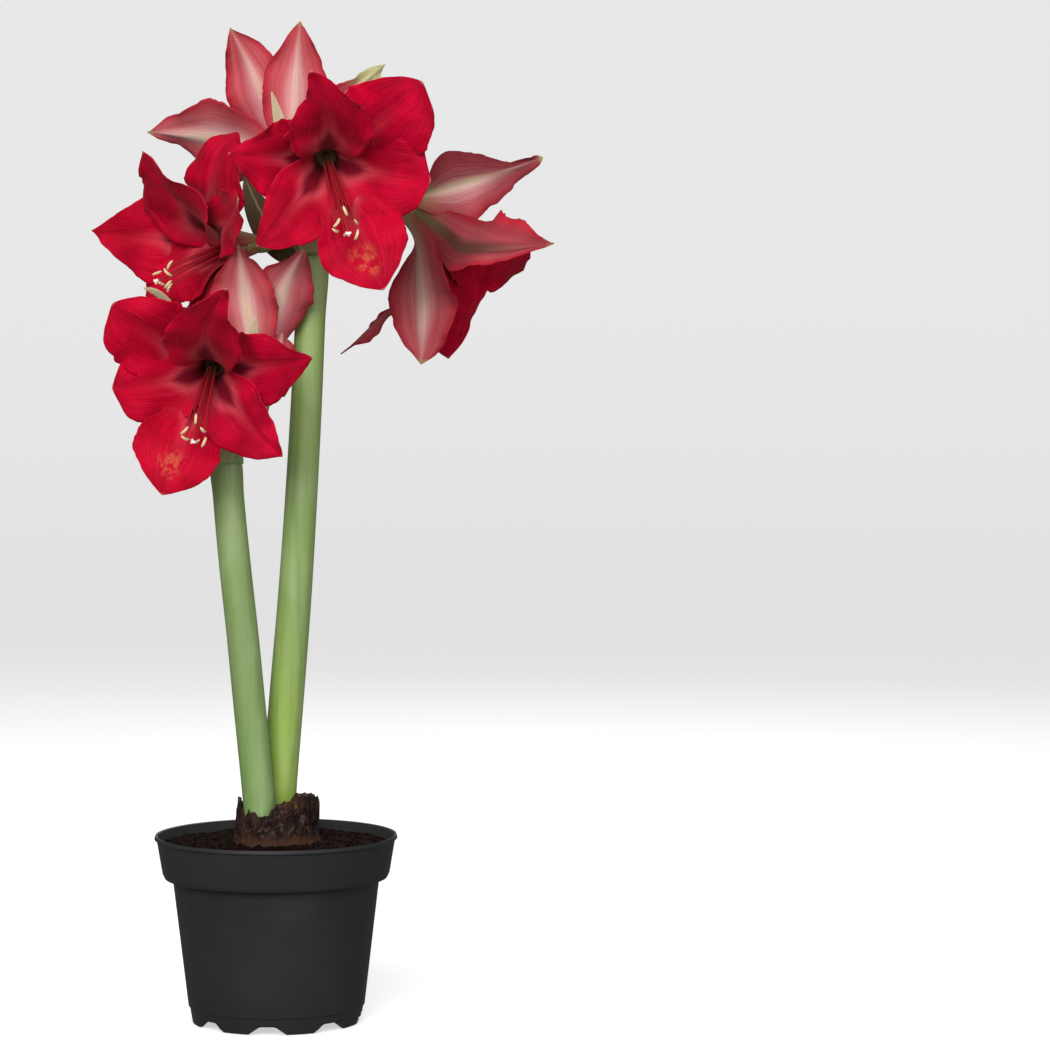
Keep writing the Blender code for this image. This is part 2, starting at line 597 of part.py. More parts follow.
def build_pot():
    """Thin tapered pot with a deep rim band, a raised floor and a notched foot ring."""
    profile = [
        (0.0, FLOOR_UNDERSIDE), (FOOT_RADIUS - 3.6, FLOOR_UNDERSIDE), (FOOT_RADIUS - 2.4, 0.0),
        (FOOT_RADIUS, 0.0), (FOOT_RADIUS + 1.9, FOOT_HEIGHT), (BODY_RADIUS_LOW, FOOT_HEIGHT + 0.7),
        (BODY_RADIUS_HIGH, BAND_BOTTOM - 3.0), (BAND_RADIUS - 1.6, BAND_BOTTOM + 0.3),
        (BAND_RADIUS, BAND_BOTTOM + 3.6),
        (RIM_RADIUS - 1.8, POT_HEIGHT - 3.8), (RIM_RADIUS, POT_HEIGHT - 2.4),
        (RIM_RADIUS - 0.8, POT_HEIGHT), (RIM_RADIUS - 2.6, POT_HEIGHT - 0.4),
        (BAND_RADIUS - WALL, BAND_BOTTOM + 4.6), (BAND_RADIUS - 1.6 - WALL, BAND_BOTTOM + 2.0),
        (BODY_RADIUS_HIGH - WALL, BAND_BOTTOM - 2.0), (BODY_RADIUS_LOW - WALL, FOOT_HEIGHT + 0.7),
        (FOOT_RADIUS - 2.0, FLOOR_UNDERSIDE + WALL), (0.0, FLOOR_UNDERSIDE + WALL),
    ]
    body = lathe("pot_body", profile, POT_SIDES, POT_BLACK)
    cutters = []
    for k in range(NOTCHES):
        a = math.radians(-90.0 + NOTCH_TURN) + 2.0 * math.pi * k / NOTCHES
        out = np.array([math.cos(a), math.sin(a), 0.0])
        side = np.array([-math.sin(a), math.cos(a), 0.0])
        verts = []
        for r in (FOOT_RADIUS - 8.0, FOOT_RADIUS + 6.0):
            for half, z in ((-NOTCH_WIDTH_BOTTOM / 2 - 1.3, -1.0), (NOTCH_WIDTH_BOTTOM / 2 + 1.3, -1.0),
                            (NOTCH_WIDTH_TOP / 2, NOTCH_HEIGHT), (-NOTCH_WIDTH_TOP / 2, NOTCH_HEIGHT)):
                verts.append(r * out + half * side + np.array([0.0, 0.0, z]))
        faces = [(0, 1, 2, 3), (4, 7, 6, 5), (0, 4, 5, 1), (1, 5, 6, 2), (2, 6, 7, 3), (3, 7, 4, 0)]
        cutters.append(mesh_object("notch", verts, faces, POT_BLACK))
    for k in range(DRAIN_HOLES):
        a = math.radians(-90.0 + NOTCH_TURN + 180.0 / DRAIN_HOLES) + 2.0 * math.pi * k / DRAIN_HOLES
        x, y = DRAIN_RING_RADIUS * math.cos(a), DRAIN_RING_RADIUS * math.sin(a)
        cutters.append(sweep("drain", [(x, y, FLOOR_UNDERSIDE - 3.0), (x, y, FLOOR_UNDERSIDE + 4.0)],
                             [DRAIN_HOLE_RADIUS] * 2, 8, POT_BLACK))
    return combine("pot", body, cutters, "DIFFERENCE", POT_BLACK)


BULB_PROFILE = [
    (0.0, BULB_BOTTOM), (20.0, BULB_BOTTOM), (35.0, BULB_BOTTOM + 17.0),
    (BULB_RADIUS, BULB_BOTTOM + 34.0), (37.5, BULB_BOTTOM + 46.0), (33.5, BULB_BOTTOM + 58.0),
    (31.5, BULB_BOTTOM + 66.0),
]


def crumb(a, r):
    """Uneven soil: a few waves of different pitch added up."""
    return SOIL_CRUMB * (0.5 * math.sin(5 * a + 0.21 * r) + 0.3 * math.sin(11 * a - 0.33 * r)
                         + 0.35 * math.cos(8 * a + 0.6 * r))


def build_soil():
    """The soil that fills the pot, with the hollow the bulb sits in."""
    inner = [(FOOT_RADIUS - 2.0 - GAP, FLOOR_UNDERSIDE + WALL + GAP),
             (BODY_RADIUS_LOW - WALL - GAP, FOOT_HEIGHT + 0.7 + GAP),
             (BODY_RADIUS_HIGH - WALL - GAP, BAND_BOTTOM - 2.0 + GAP),
             (BAND_RADIUS - 1.6 - WALL - GAP, BAND_BOTTOM + 2.0 + GAP)]
    slope = (RIM_RADIUS - 2.6 - BAND_RADIUS + WALL) / (POT_HEIGHT - BAND_BOTTOM - 5.0)
    edge = BAND_RADIUS - WALL - GAP - 0.3 + slope * (SOIL_EDGE_HEIGHT - BAND_BOTTOM - 4.6)
    profile = [(0.0, FLOOR_UNDERSIDE + WALL + GAP)] + inner
    profile.append((BAND_RADIUS - WALL - GAP, BAND_BOTTOM + 4.9))
    profile.append((edge, SOIL_EDGE_HEIGHT))
    first_top = len(profile) - 1
    rise = SOIL_CROWN_HEIGHT - SOIL_EDGE_HEIGHT
    for r in (70.0, 53.0):
        profile.append((r, SOIL_EDGE_HEIGHT + rise * (edge - r) / (edge - 36.0)))
    profile.append((36.0, SOIL_CROWN_HEIGHT))
    profile.append((0.0, SOIL_CROWN_HEIGHT + 0.5))

    def uneven(k, a, r, z):
        """Crumbs on the top rings only."""
        return (r, z + crumb(a, r)) if k > first_top else (r, z)

    body = lathe("soil_body", profile, POT_SIDES, SOIL_BROWN, height=uneven)
    hollow = [(0.0, BULB_BOTTOM - GAP)]
    hollow += [(r + GAP + 0.1, z - (GAP if z <= BULB_BOTTOM + 8.0 else 0.0)) for r, z in BULB_PROFILE[1:]]
    hollow.append((31.5 + GAP + 0.1, 140.0))
    hollow.append((0.0, 140.0))
    cutter = lathe("hollow", hollow, BULB_SIDES, SOIL_BROWN, centre=BULB_CENTRE)
    return combine("soil", body, [cutter], "DIFFERENCE", SOIL_BROWN)


def build_bulb():
    """The bulb: round below the soil, a ragged neck of torn scales above, two sockets for the scapes."""
    rim = [(31.3, 134.0), (30.5, 141.0), (29.6, 147.0), (28.4, NECK_TOP), (26.6, NECK_TOP - 0.5),
           (26.2, 145.0)]
    profile = BULB_PROFILE + rim + [(25.5, 144.0), (0.0, 144.0)]
    first_rim = len(BULB_PROFILE)

    def ragged(k, a, r, z):
        """Torn edge: a horn to the left, a dip at the front, a lump to the right."""
        if k < first_rim or k >= first_rim + 5:
            return r, z
        share = (k - first_rim + 1) / 4.0 if k < first_rim + 4 else 1.0
        left = math.exp(-((math.cos((a - math.radians(195)) / 2.0) ** 2 - 1.0) / 0.035) ** 2)
        right = math.exp(-((math.cos((a - math.radians(-25)) / 2.0) ** 2 - 1.0) / 0.12) ** 2)
        back = math.exp(-((math.cos((a - math.radians(95)) / 2.0) ** 2 - 1.0) / 0.25) ** 2)
        torn = 7.0 * left + 8.0 * right + 3.0 * back + 1.2 * math.sin(9 * a) + 0.8 * math.sin(14 * a + 1.0)
        spread = 1.0 + 0.03 * share * math.sin(7 * a + 0.5) + 0.05 * share * right
        return r * spread, z + torn * share - 3.0 * share

    body = lathe("bulb_body", profile, BULB_SIDES, BULB_BROWN, centre=BULB_CENTRE, height=ragged)
    cutters = []
    for line in (TALL_SCAPE, SHORT_SCAPE):
        foot, above = np.array(line[0]), np.array(line[1])
        lean = (above - foot) / (above[2] - foot[2])
        low = foot - GAP * lean
        high = foot + 40.0 * lean
        points = [low[:3], high[:3]]
        radii = [low[3] + GAP + 0.1, high[3] + GAP + 0.1]
        cutters.append(sweep("socket", points, radii, SCAPE_SIDES, BULB_BROWN))
    return combine("bulb", body, cutters, "DIFFERENCE", BULB_BROWN)


pieces = [build_pot(), build_soil(), build_bulb()]
pieces.append(build_scape("scape_tall", TALL_SCAPE, ["tall_front", "tall_back", "tall_right", "tall_left"]))
pieces.append(build_scape("scape_short", SHORT_SCAPE, ["short_front", "short_back"]))
for bract_name, bract in BRACTS.items():
    pieces.append(build_spathe(bract_name, bract))
for bloom_key, bloom_spec in BLOOMS.items():
    pieces.append(build_bloom(bloom_key, bloom_spec))
    pieces.append(build_stamens(bloom_key, bloom_spec))

# the origin goes under the middle of the whole plant, on the table
low = np.min([np.min([v.co[:] for v in piece.data.vertices], axis=0) for piece in pieces], axis=0)
high = np.max([np.max([v.co[:] for v in piece.data.vertices], axis=0) for piece in pieces], axis=0)
centre = (low + high) / 2.0
for piece in pieces:
    for vertex in piece.data.vertices:
        vertex.co.x -= centre[0]
        vertex.co.y -= centre[1]
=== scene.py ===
# %% [markdown]
# # An amaryllis in its nursery pot
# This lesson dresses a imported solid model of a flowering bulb: a black plastic pot, soil, a brown
# bulb, two thick green stalks and six large red blooms. The solids are plain and few-sided. Here
# each one gets a finer mesh of the same form, and a material made of nodes.
# The first cell loads the solids. They are the fixed frame that all that follows has to fit.

# %% Load the frame
import math

import bpy
import numpy as np
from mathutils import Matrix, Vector


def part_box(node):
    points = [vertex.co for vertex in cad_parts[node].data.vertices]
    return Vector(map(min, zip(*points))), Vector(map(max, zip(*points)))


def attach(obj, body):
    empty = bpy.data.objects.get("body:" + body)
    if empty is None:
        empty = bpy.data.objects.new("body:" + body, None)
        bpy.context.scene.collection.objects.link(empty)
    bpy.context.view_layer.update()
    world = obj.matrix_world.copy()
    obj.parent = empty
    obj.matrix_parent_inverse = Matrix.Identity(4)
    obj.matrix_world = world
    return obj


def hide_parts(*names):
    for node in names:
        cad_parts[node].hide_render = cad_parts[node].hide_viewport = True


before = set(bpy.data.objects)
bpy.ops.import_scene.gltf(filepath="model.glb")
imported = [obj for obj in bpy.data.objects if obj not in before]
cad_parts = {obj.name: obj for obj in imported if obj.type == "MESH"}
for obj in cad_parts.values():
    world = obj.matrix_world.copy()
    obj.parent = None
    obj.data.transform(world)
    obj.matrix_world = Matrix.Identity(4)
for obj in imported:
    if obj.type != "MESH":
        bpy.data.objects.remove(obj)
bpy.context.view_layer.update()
print("nodes in the frame:", sorted(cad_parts))

# %% [markdown]
# ## One origin for the whole plant
# The solids stand in metres with the origin under the middle of the whole plant. A plant is easier
# to describe from the middle of its pot, and in millimetres, so every point below is written that
# way and turned into the frame's metres at the end.

# %% Where the pot stands
MM = 0.001
pot_low, pot_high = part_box("pot")
POT_AXIS = np.array([(pot_low.x + pot_high.x) / 2.0, (pot_low.y + pot_high.y) / 2.0, 0.0])
POT_HEIGHT = pot_high.z / MM


def in_frame(points):
    """Millimetres from the pot's axis, as metres in the frame."""
    return np.asarray(points, float) * MM + POT_AXIS


def smooth(t):
    """Ease from 0 to 1 without a corner at either end."""
    t = np.clip(t, 0.0, 1.0)
    return t * t * (3.0 - 2.0 * t)


def unit(v):
    """The same direction, one long."""
    v = np.asarray(v, float)
    return v / np.linalg.norm(v)


print("pot axis at", POT_AXIS.round(4), "pot height", round(POT_HEIGHT, 1), "mm")

# %% [markdown]
# ## The camera
# The photograph was taken from a little above the blooms' height, looking slightly down, from far
# away, so lines stay nearly parallel. A long lens at 2.7 m gives that. The point looked at is to
# the right of the plant, because the plant stands in the left half of the frame.

# %% Camera
PIXEL = 170.0 / 244.0               # millimetres that one pixel of the frame covers at the pot
FRAME_PIXELS = 1050
POT_PIXEL = (275.0, 1024.0)         # where the middle of the pot's foot is in the frame
DISTANCE = 2700.0
LOOK_DOWN = math.radians(3.3)
SENSOR = 36.0

middle = FRAME_PIXELS / 2.0
target = np.array([(middle - POT_PIXEL[0]) * PIXEL, 0.0, (POT_PIXEL[1] - middle) * PIXEL])
eye = target + DISTANCE * np.array([0.0, -math.cos(LOOK_DOWN), math.sin(LOOK_DOWN)])
bpy.ops.object.camera_add(location=in_frame(eye), rotation=(math.pi / 2.0 - LOOK_DOWN, 0.0, 0.0))
camera = bpy.context.object
camera.name = "camera"
camera.data.sensor_width = SENSOR
camera.data.lens = SENSOR * DISTANCE / (FRAME_PIXELS * PIXEL)
camera.data.clip_end = 100.0
bpy.context.scene.camera = camera
print("lens", round(camera.data.lens, 1), "mm")

# %% [markdown]
# ## Studio light and floor
# Cut-out pictures of plants are lit by large soft boxes: one from the front and above, a weaker one
# from the side, and one from behind that edges the petals. A dim white world fills the shadows.

# %% Lamps and world
def soft_box(name, place, size, watts):
    """A square area lamp that faces the plant; its place is in millimetres from the pot's axis."""
    bpy.ops.object.light_add(type="AREA", location=in_frame(place))
    lamp = bpy.context.object
    lamp.name = name
    lamp.data.shape = "SQUARE"
    lamp.data.size = size
    lamp.data.energy = watts
    aim = Vector(in_frame(PLANT_MIDDLE)) - lamp.location
    lamp.rotation_euler = aim.to_track_quat("-Z", "Y").to_euler()


PLANT_MIDDLE = (0.0, 0.0, 420.0)
soft_box("key_light", (-350.0, -2000.0, 1350.0), 1.4, 59.0)
soft_box("fill_light", (1300.0, -1700.0, 500.0), 1.3, 9.0)
soft_box("back_light", (300.0, 1600.0, 1500.0), 1.2, 14.0)

world = bpy.data.worlds.new("studio")
bpy.context.scene.world = world
world.use_nodes = True
backdrop = world.node_tree.nodes["Background"]
backdrop.inputs["Color"].default_value = (1.0, 1.0, 1.0, 1.0)
backdrop.inputs["Strength"].default_value = 0.22
bpy.context.scene.view_settings.view_transform = "Standard"
print("three lamps and a dim white world")

# %% [markdown]
# ## A bowl of paper
# The bowl starts as a circle of edges above the plant. Extruding that ring downwards and scaling it
# each time gives a wall that curves into the floor. It is far from the plant and hidden from the
# rays that light it, so it can glow as white paper does without tinting the petals from below.

# %% The floor
BOWL_RADIUS = 5.0
BOWL_TOP = 6.0
# (metres down, scale) of each ring against the one above it
BOWL_STEPS = ((4.8, 1.0), (0.5, 0.985), (0.35, 0.96), (0.2, 0.94), (0.1, 0.9), (0.0504, 0.86))


def edit_all():
    """Go into edit mode with the whole piece selected."""
    bpy.ops.object.mode_set(mode="EDIT")
    bpy.ops.mesh.select_all(action="SELECT")


def close_edit(inside=False):
    """Turn all faces outwards, or inwards, and leave edit mode."""
    bpy.ops.mesh.select_all(action="SELECT")
    bpy.ops.mesh.normals_make_consistent(inside=inside)
    bpy.ops.object.mode_set(mode="OBJECT")


bpy.ops.object.select_all(action="DESELECT")
bpy.ops.mesh.primitive_circle_add(vertices=96, radius=BOWL_RADIUS, location=(0.0, 0.0, BOWL_TOP))
floor = bpy.context.object
floor.name = "floor"
edit_all()
for drop, scale in BOWL_STEPS:
    bpy.ops.mesh.extrude_region_move(TRANSFORM_OT_translate={"value": (0.0, 0.0, -drop)})
    bpy.ops.transform.resize(value=(scale, scale, 1.0), center_override=(0.0, 0.0, 0.0))
bpy.ops.mesh.edge_face_add()
close_edit(inside=True)
bpy.ops.object.shade_smooth()
floor.visible_diffuse = floor.visible_glossy = floor.visible_shadow = False
floor_paint = bpy.data.materials.new("pale_floor")
floor_paint.use_nodes = True
floor_shader = floor_paint.node_tree.nodes["Principled BSDF"]
floor_shader.inputs["Base Color"].default_value = (0.7, 0.7, 0.7, 1.0)
floor_shader.inputs["Roughness"].default_value = 0.8
floor_shader.inputs["Emission Color"].default_value = (1.0, 1.0, 1.0, 1.0)
floor_shader.inputs["Emission Strength"].default_value = 0.56
floor.data.materials.append(floor_paint)
lowest = min(corner.co.z for corner in floor.data.vertices) + floor.location.z
print("the floor lies at", round(lowest / MM, 2), "mm")

# %% [markdown]
# ## Writing node materials as sums
# A procedural material is a net of small nodes. Linking them one by one hides what they do, so this
# cell wraps a socket in a class with the usual operators: `1 - mask * 0.3` then adds its own Math
# nodes. Every other node comes from one method, `node`, which sets the node's settings first and
# its sockets after.

# %% Shader maths
class Wire:
    """An output socket that can be used in sums."""

    def __init__(self, paint, socket):
        self.paint = paint
        self.socket = socket

    def sum(self, operation, *values):
        return self.paint.node("ShaderNodeMath", {"operation": operation}, dict(enumerate(values)))

    def __add__(self, other):
        return self.sum("ADD", self, other)

    def __sub__(self, other):
        return self.sum("SUBTRACT", self, other)

    def __rsub__(self, other):
        return self.sum("SUBTRACT", other, self)

    def __mul__(self, other):
        return self.sum("MULTIPLY", self, other)

    def __abs__(self):
        return self.sum("ABSOLUTE", self)

    __radd__ = __add__
    __rmul__ = __mul__

    def sine(self):
        return self.sum("SINE", self)

    def step(self, low, high, start=0.0, end=1.0):
        """Ease from start to end while this value goes from low to high."""
        return self.paint.node("ShaderNodeMapRange", {"interpolation_type": "SMOOTHSTEP"},
                               {0: self, 1: low, 2: high, 3: start, 4: end})

    def fade(self, low, high):
        """Ease from 1 to 0."""
        return 1.0 - self.step(low, high)


class Paint:
    """One material on the Principled shader."""

    def __init__(self, name):
        self.material = bpy.data.materials.new(name)
        self.material.use_nodes = True
        self.tree = self.material.node_tree
        self.shader = self.tree.nodes["Principled BSDF"]

    def put(self, socket, value):
        if isinstance(value, Wire):
            self.tree.links.new(value.socket, socket)
        elif isinstance(value, tuple) and len(value) == 3 and socket.type == "RGBA":
            socket.default_value = (*value, 1.0)
        else:
            socket.default_value = value

    def node(self, kind, settings=None, sockets=None, out=0):
        made = self.tree.nodes.new(kind)
        for key, value in (settings or {}).items():
            setattr(made, key, value)
        for key, value in (sockets or {}).items():
            self.put(made.inputs[key], value)
        return Wire(self, made.outputs[out])

    def place(self, kind="Object"):
        """Object coordinates in metres, or the UV map."""
        return self.node("ShaderNodeTexCoord", out=kind)

    def parts(self, vector):
        """The x, y and z of a vector."""
        split = self.node("ShaderNodeSeparateXYZ", sockets={0: vector}).socket.node
        return [Wire(self, socket) for socket in split.outputs]

    def vector(self, x, y, z=0.0):
        return self.node("ShaderNodeCombineXYZ", sockets={0: x, 1: y, 2: z})

    def noise(self, vector, scale=1.0, detail=3.0, roughness=0.5):
        """Soft random values; a scale of three numbers stretches them."""
        if isinstance(scale, tuple):
            vector = self.node("ShaderNodeVectorMath", {"operation": "MULTIPLY"}, {0: vector, 1: scale})
            scale = 1.0
        sockets = {"Vector": vector, "Scale": scale, "Detail": detail, "Roughness": roughness}
        return self.node("ShaderNodeTexNoise", sockets=sockets, out="Fac")

    def attribute(self, name):
        return self.node("ShaderNodeAttribute", {"attribute_name": name}, out="Fac")

    def mix(self, share, first, second):
        """Colour going from the first to the second as share goes from 0 to 1."""
        return self.node("ShaderNodeMix", {"data_type": "RGBA"}, {0: share, 6: first, 7: second}, out=2)

    def coats(self, colour, *coats):
        """A colour with others laid over it, each coat a share and its colour."""
        for share, coat in coats:
            colour = self.mix(share, colour, coat)
        return colour

    def finish(self, colour, roughness, height=None, depth=0.0002, strength=1.0, **sockets):
        """Link colour, roughness and relief to the shader; plain numbers go on its own sockets."""
        self.put(self.shader.inputs["Base Color"], colour)
        self.put(self.shader.inputs["Roughness"], roughness)
        if height is not None:
            bump = self.node("ShaderNodeBump", sockets={"Strength": strength, "Distance": depth,
                                                        "Height": height})
            self.put(self.shader.inputs["Normal"], bump)
        for key, value in sockets.items():
            self.put(self.shader.inputs[key.replace("_", " ")], value)
        return self.material


print("shader helpers ready")

# %% [markdown]
# ## Sheets that are bent into shape
# Petals, stalks, bulb scales and filaments all grow as sheets or tubes, with lines that run along
# them. A grid primitive is a sheet already, with a UV map: u goes across it and v along it. So each
# of these pieces starts as a grid whose points are moved to their place by a formula. For a tube the
# grid is rolled up and its two long sides are merged. The UV map stays, and veins can follow it.
# Soft lines in space come from a few points with a smooth curve through or between them.

# %% Grid helpers
SEAM = 2e-6                         # metres; corners closer than this are merged


def shaped_sheet(name, points, tube=False):
    """A grid whose corners go to points[row, column], in millimetres from the pot's axis. A tube's
    last column is put on its first one, and its ends are closed."""
    points = np.array(points, float)
    rows, columns = points.shape[0] - 1, points.shape[1] - 1
    if tube:
        points[:, -1] = points[:, 0]
    bpy.ops.object.select_all(action="DESELECT")
    bpy.ops.mesh.primitive_grid_add(x_subdivisions=columns, y_subdivisions=rows, size=1.0)
    sheet = bpy.context.object
    sheet.name = name
    flat = np.zeros(len(sheet.data.vertices) * 3)
    sheet.data.vertices.foreach_get("co", flat)
    flat = flat.reshape(-1, 3)
    column = np.rint((flat[:, 0] + 0.5) * columns).astype(int)
    row = np.rint((flat[:, 1] + 0.5) * rows).astype(int)
    sheet.data.vertices.foreach_set("co", in_frame(points[row, column]).ravel())
    sheet.data.update()
    if tube:
        edit_all()
        bpy.ops.mesh.remove_doubles(threshold=SEAM)
        bpy.ops.mesh.select_all(action="DESELECT")
        bpy.ops.mesh.select_mode(type="EDGE")
        bpy.ops.mesh.select_non_manifold()
        bpy.ops.mesh.edge_face_add()
        close_edit()
    bpy.ops.object.shade_smooth()
    return sheet


def full_turn(sides):
    """Even angles once round, the last one back at the start."""
    return np.linspace(0.0, 2.0 * math.pi, sides + 1)


def ring(point, side, over, radius, angle, squash=1.0, lobes=0.0, flutes=0.0):
    """Points round one place of a line, in the plane of two directions."""
    r = radius * (1.0 + lobes * np.cos(3.0 * angle) + flutes * np.cos(11.0 * angle))
    return point + (r * np.cos(angle))[:, None] * side + (r * squash * np.sin(angle))[:, None] * over


def tube_piece(name, path, radii, sides, **form):
    """A closed tube along a path, with a radius at each point."""
    path = np.asarray(path, float)
    ahead = np.gradient(path, axis=0)
    side = unit(np.cross(ahead[0], (0.0, 1.0, 0.3)))
    rings = []
    for point, forward, radius in zip(path, ahead, radii):
        forward = unit(forward)
        side = unit(side - forward * side.dot(forward))
        rings.append(ring(point, side, np.cross(forward, side), radius, full_turn(sides), **form))
    return shaped_sheet(name, rings, tube=True)


def level_ring(angle, radius, height, centre=(0.0, 0.0)):
    """Points round an upright axis, at one radius and height or at one for each angle."""
    x, y = radius * np.cos(angle) + centre[0], radius * np.sin(angle) + centre[1]
    return np.stack([x, y, np.broadcast_to(height, angle.shape)], axis=1)


def along(points, steps):
    """A smooth line through the given points, at even steps."""
    points = np.asarray(points, float)
    lengths = np.linalg.norm(np.diff(points[:, :3], axis=0), axis=1)
    knots = np.concatenate([[0.0], np.cumsum(lengths)])
    where = np.linspace(0.0, knots[-1], steps)
    slopes = np.gradient(points, knots, axis=0)
    k = np.clip(np.searchsorted(knots, where, side="right") - 1, 0, len(knots) - 2)
    width = (knots[k + 1] - knots[k])[:, None]
    t = ((where - knots[k]) / width[:, 0])[:, None]
    return ((2 * t ** 3 - 3 * t ** 2 + 1) * points[k] + (t ** 3 - 2 * t ** 2 + t) * width * slopes[k]
            + (3 * t ** 2 - 2 * t ** 3) * points[k + 1] + (t ** 3 - t ** 2) * width * slopes[k + 1])


def bezier(a, b, c, d, steps):
    """Points along a cubic curve."""
    a, b, c, d = (np.asarray(p, float) for p in (a, b, c, d))
    t = np.linspace(0.0, 1.0, steps)[:, None]
    u = 1.0 - t
    return u ** 3 * a + 3 * u ** 2 * t * b + 3 * u * t ** 2 * c + t ** 3 * d


print("a circle in four steps:", full_turn(4).round(2))

# %% [markdown]
# Every piece then goes the same way: its parts get their material, a modifier and numbers that the
# material can read, are joined, and the whole is hung on the frame in place of the solid it stands
# for.

# %% Piece helpers
def only(*pieces):
    """Select these pieces and make the first one active."""
    bpy.ops.object.select_all(action="DESELECT")
    for piece in pieces:
        piece.select_set(True)
    bpy.context.view_layer.objects.active = pieces[0]


def joined(pieces, name):
    """Several objects as one."""
    only(*pieces)
    bpy.ops.object.join()
    pieces[0].name = name
    return pieces[0]


def wear(piece, *materials):
    """Give a piece its materials, in slot order."""
    piece.data.materials.clear()
    for material in materials:
        piece.data.materials.append(material)
    return piece


def mark(piece, name, values):
    """A number on every point, which a material can read."""
    values = np.broadcast_to(np.asarray(values, np.float32), len(piece.data.vertices))
    piece.data.attributes.new(name, "FLOAT", "POINT").data.foreach_set("value", values.copy())


def modify(piece, kind, **settings):
    """Put a modifier on a piece, set it and make it part of the mesh."""
    only(piece)
    bpy.ops.object.modifier_add(type=kind)
    modifier = piece.modifiers[-1]
    for key, value in settings.items():
        setattr(modifier, key, value)
    bpy.ops.object.modifier_apply(modifier=modifier.name)


def keep(piece, node):
    """Let a finished piece ride on the plant and stand for its solid."""
    piece.location = (0.0, 0.0, 0.0)
    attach(piece, "root")
    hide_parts(node)
    triangles = sum(len(face.vertices) - 2 for face in piece.data.polygons)
    print(piece.name, "has", triangles, "triangles")


print("piece helpers ready")

# %% [markdown]
# ## The pot
# A nursery pot is blown or moulded from thin black polypropylene: a tapered wall, a deep band under
# the rim that makes it stiff and lets pots stack, and a foot ring with notches that let water out.
# It is round, so one ring of edges can be extruded and scaled again and again along the profile.

# %% Pot wall
POT_SIDES = 128
# (radius, height) along the wall: foot ring, outside, rim, inside, floor
POT_PROFILE = [
    (55.3, 6.5), (56.5, 0.0), (58.9, 0.0), (60.8, 11.0), (61.7, 11.7), (66.7, 54.0), (71.8, 97.0),
    (73.2, 100.0), (77.8, 101.3), (79.4, 104.6), (83.2, 127.2), (84.9, 128.6), (84.3, 130.9),
    (82.6, 130.5), (78.0, 105.6), (76.4, 103.0), (70.4, 99.0), (60.3, 11.7), (56.9, 7.9),
]
radius, height = POT_PROFILE[0]
start = in_frame((0.0, 0.0, height))
bpy.ops.object.select_all(action="DESELECT")
bpy.ops.mesh.primitive_circle_add(vertices=POT_SIDES, radius=radius * MM, location=start)
pot = bpy.context.object
pot.name = "nursery_pot"
bpy.ops.object.transform_apply()
edit_all()
bpy.ops.mesh.select_mode(type="EDGE")
for next_radius, next_height in POT_PROFILE[1:]:
    rise = (0.0, 0.0, (next_height - height) * MM)
    bpy.ops.mesh.extrude_edges_move(TRANSFORM_OT_translate={"value": rise})
    grow = next_radius / radius
    level = in_frame((0.0, 0.0, next_height))
    bpy.ops.transform.resize(value=(grow, grow, 1.0), center_override=level)
    radius, height = next_radius, next_height
bpy.ops.mesh.select_all(action="SELECT")
bpy.ops.mesh.fill_holes(sides=0)
close_edit()
print("pot wall traced through", len(POT_PROFILE), "rings")

# %% [markdown]
# The foot ring has a sloped notch at eight places, each in a shallow square recess, and the floor
# has four drain holes. Wedges with rounded edges and short cylinders are set round the pot and taken
# away from it by a Boolean, as a milling cutter would. Last, a small bevel rounds the moulded edges.

# %% Notches and drain holes
NOTCHES = 8
DRAIN_HOLES = 4
FIRST_NOTCH = -90.0 - 2.7           # degrees; a little left of the front
# (middle radius, depth, half width below, half width above, top)
NOTCH_CUTS = ((57.9, 14.0, 14.8, 5.5, 5.4), (63.4, 10.0, 14.2, 14.0, 6.4))
NOTCH_ROUND = 1.4
DRAIN_CIRCLE = 36.0
DRAIN_RADIUS = 4.0
MOULD_ROUND = 0.45


def turns(count, first):
    """Even directions round the axis, from the first one in degrees."""
    return [math.radians(first) + 2.0 * math.pi * k / count for k in range(count)]


def cut(body, cutters):
    """Take several shapes away from a body."""
    tool = joined(cutters, "cutter")
    modify(body, "BOOLEAN", operation="DIFFERENCE", object=tool, solver="EXACT")
    bpy.data.objects.remove(tool, do_unlink=True)


def notch_cutter(turn, centre, depth, low_half, high_half, top):
    """A block with rounded edges, narrower at its top, that stands across the foot ring."""
    bpy.ops.object.select_all(action="DESELECT")
    bpy.ops.mesh.primitive_cube_add(size=1.0)
    block = bpy.context.object
    for vertex in block.data.vertices:
        x, y, z = vertex.co
        half, height = (high_half, top) if z > 0.0 else (low_half, -1.0)
        vertex.co = (MM * depth * x, MM * 2.0 * half * y, MM * height)
    edit_all()
    bpy.ops.mesh.bevel(offset=NOTCH_ROUND * MM, segments=3)
    bpy.ops.object.mode_set(mode="OBJECT")
    block.rotation_euler = (0.0, 0.0, turn)
    block.location = in_frame((centre * math.cos(turn), centre * math.sin(turn), 0.0))
    bpy.ops.object.transform_apply()
    return block


def drain_cutter(turn):
    """A short upright cylinder through the pot's floor."""
    place = in_frame((DRAIN_CIRCLE * math.cos(turn), DRAIN_CIRCLE * math.sin(turn), 7.2))
    bpy.ops.object.select_all(action="DESELECT")
    bpy.ops.mesh.primitive_cylinder_add(vertices=24, radius=DRAIN_RADIUS * MM, depth=8.0 * MM, location=place)
    bpy.ops.object.transform_apply()
    return bpy.context.object


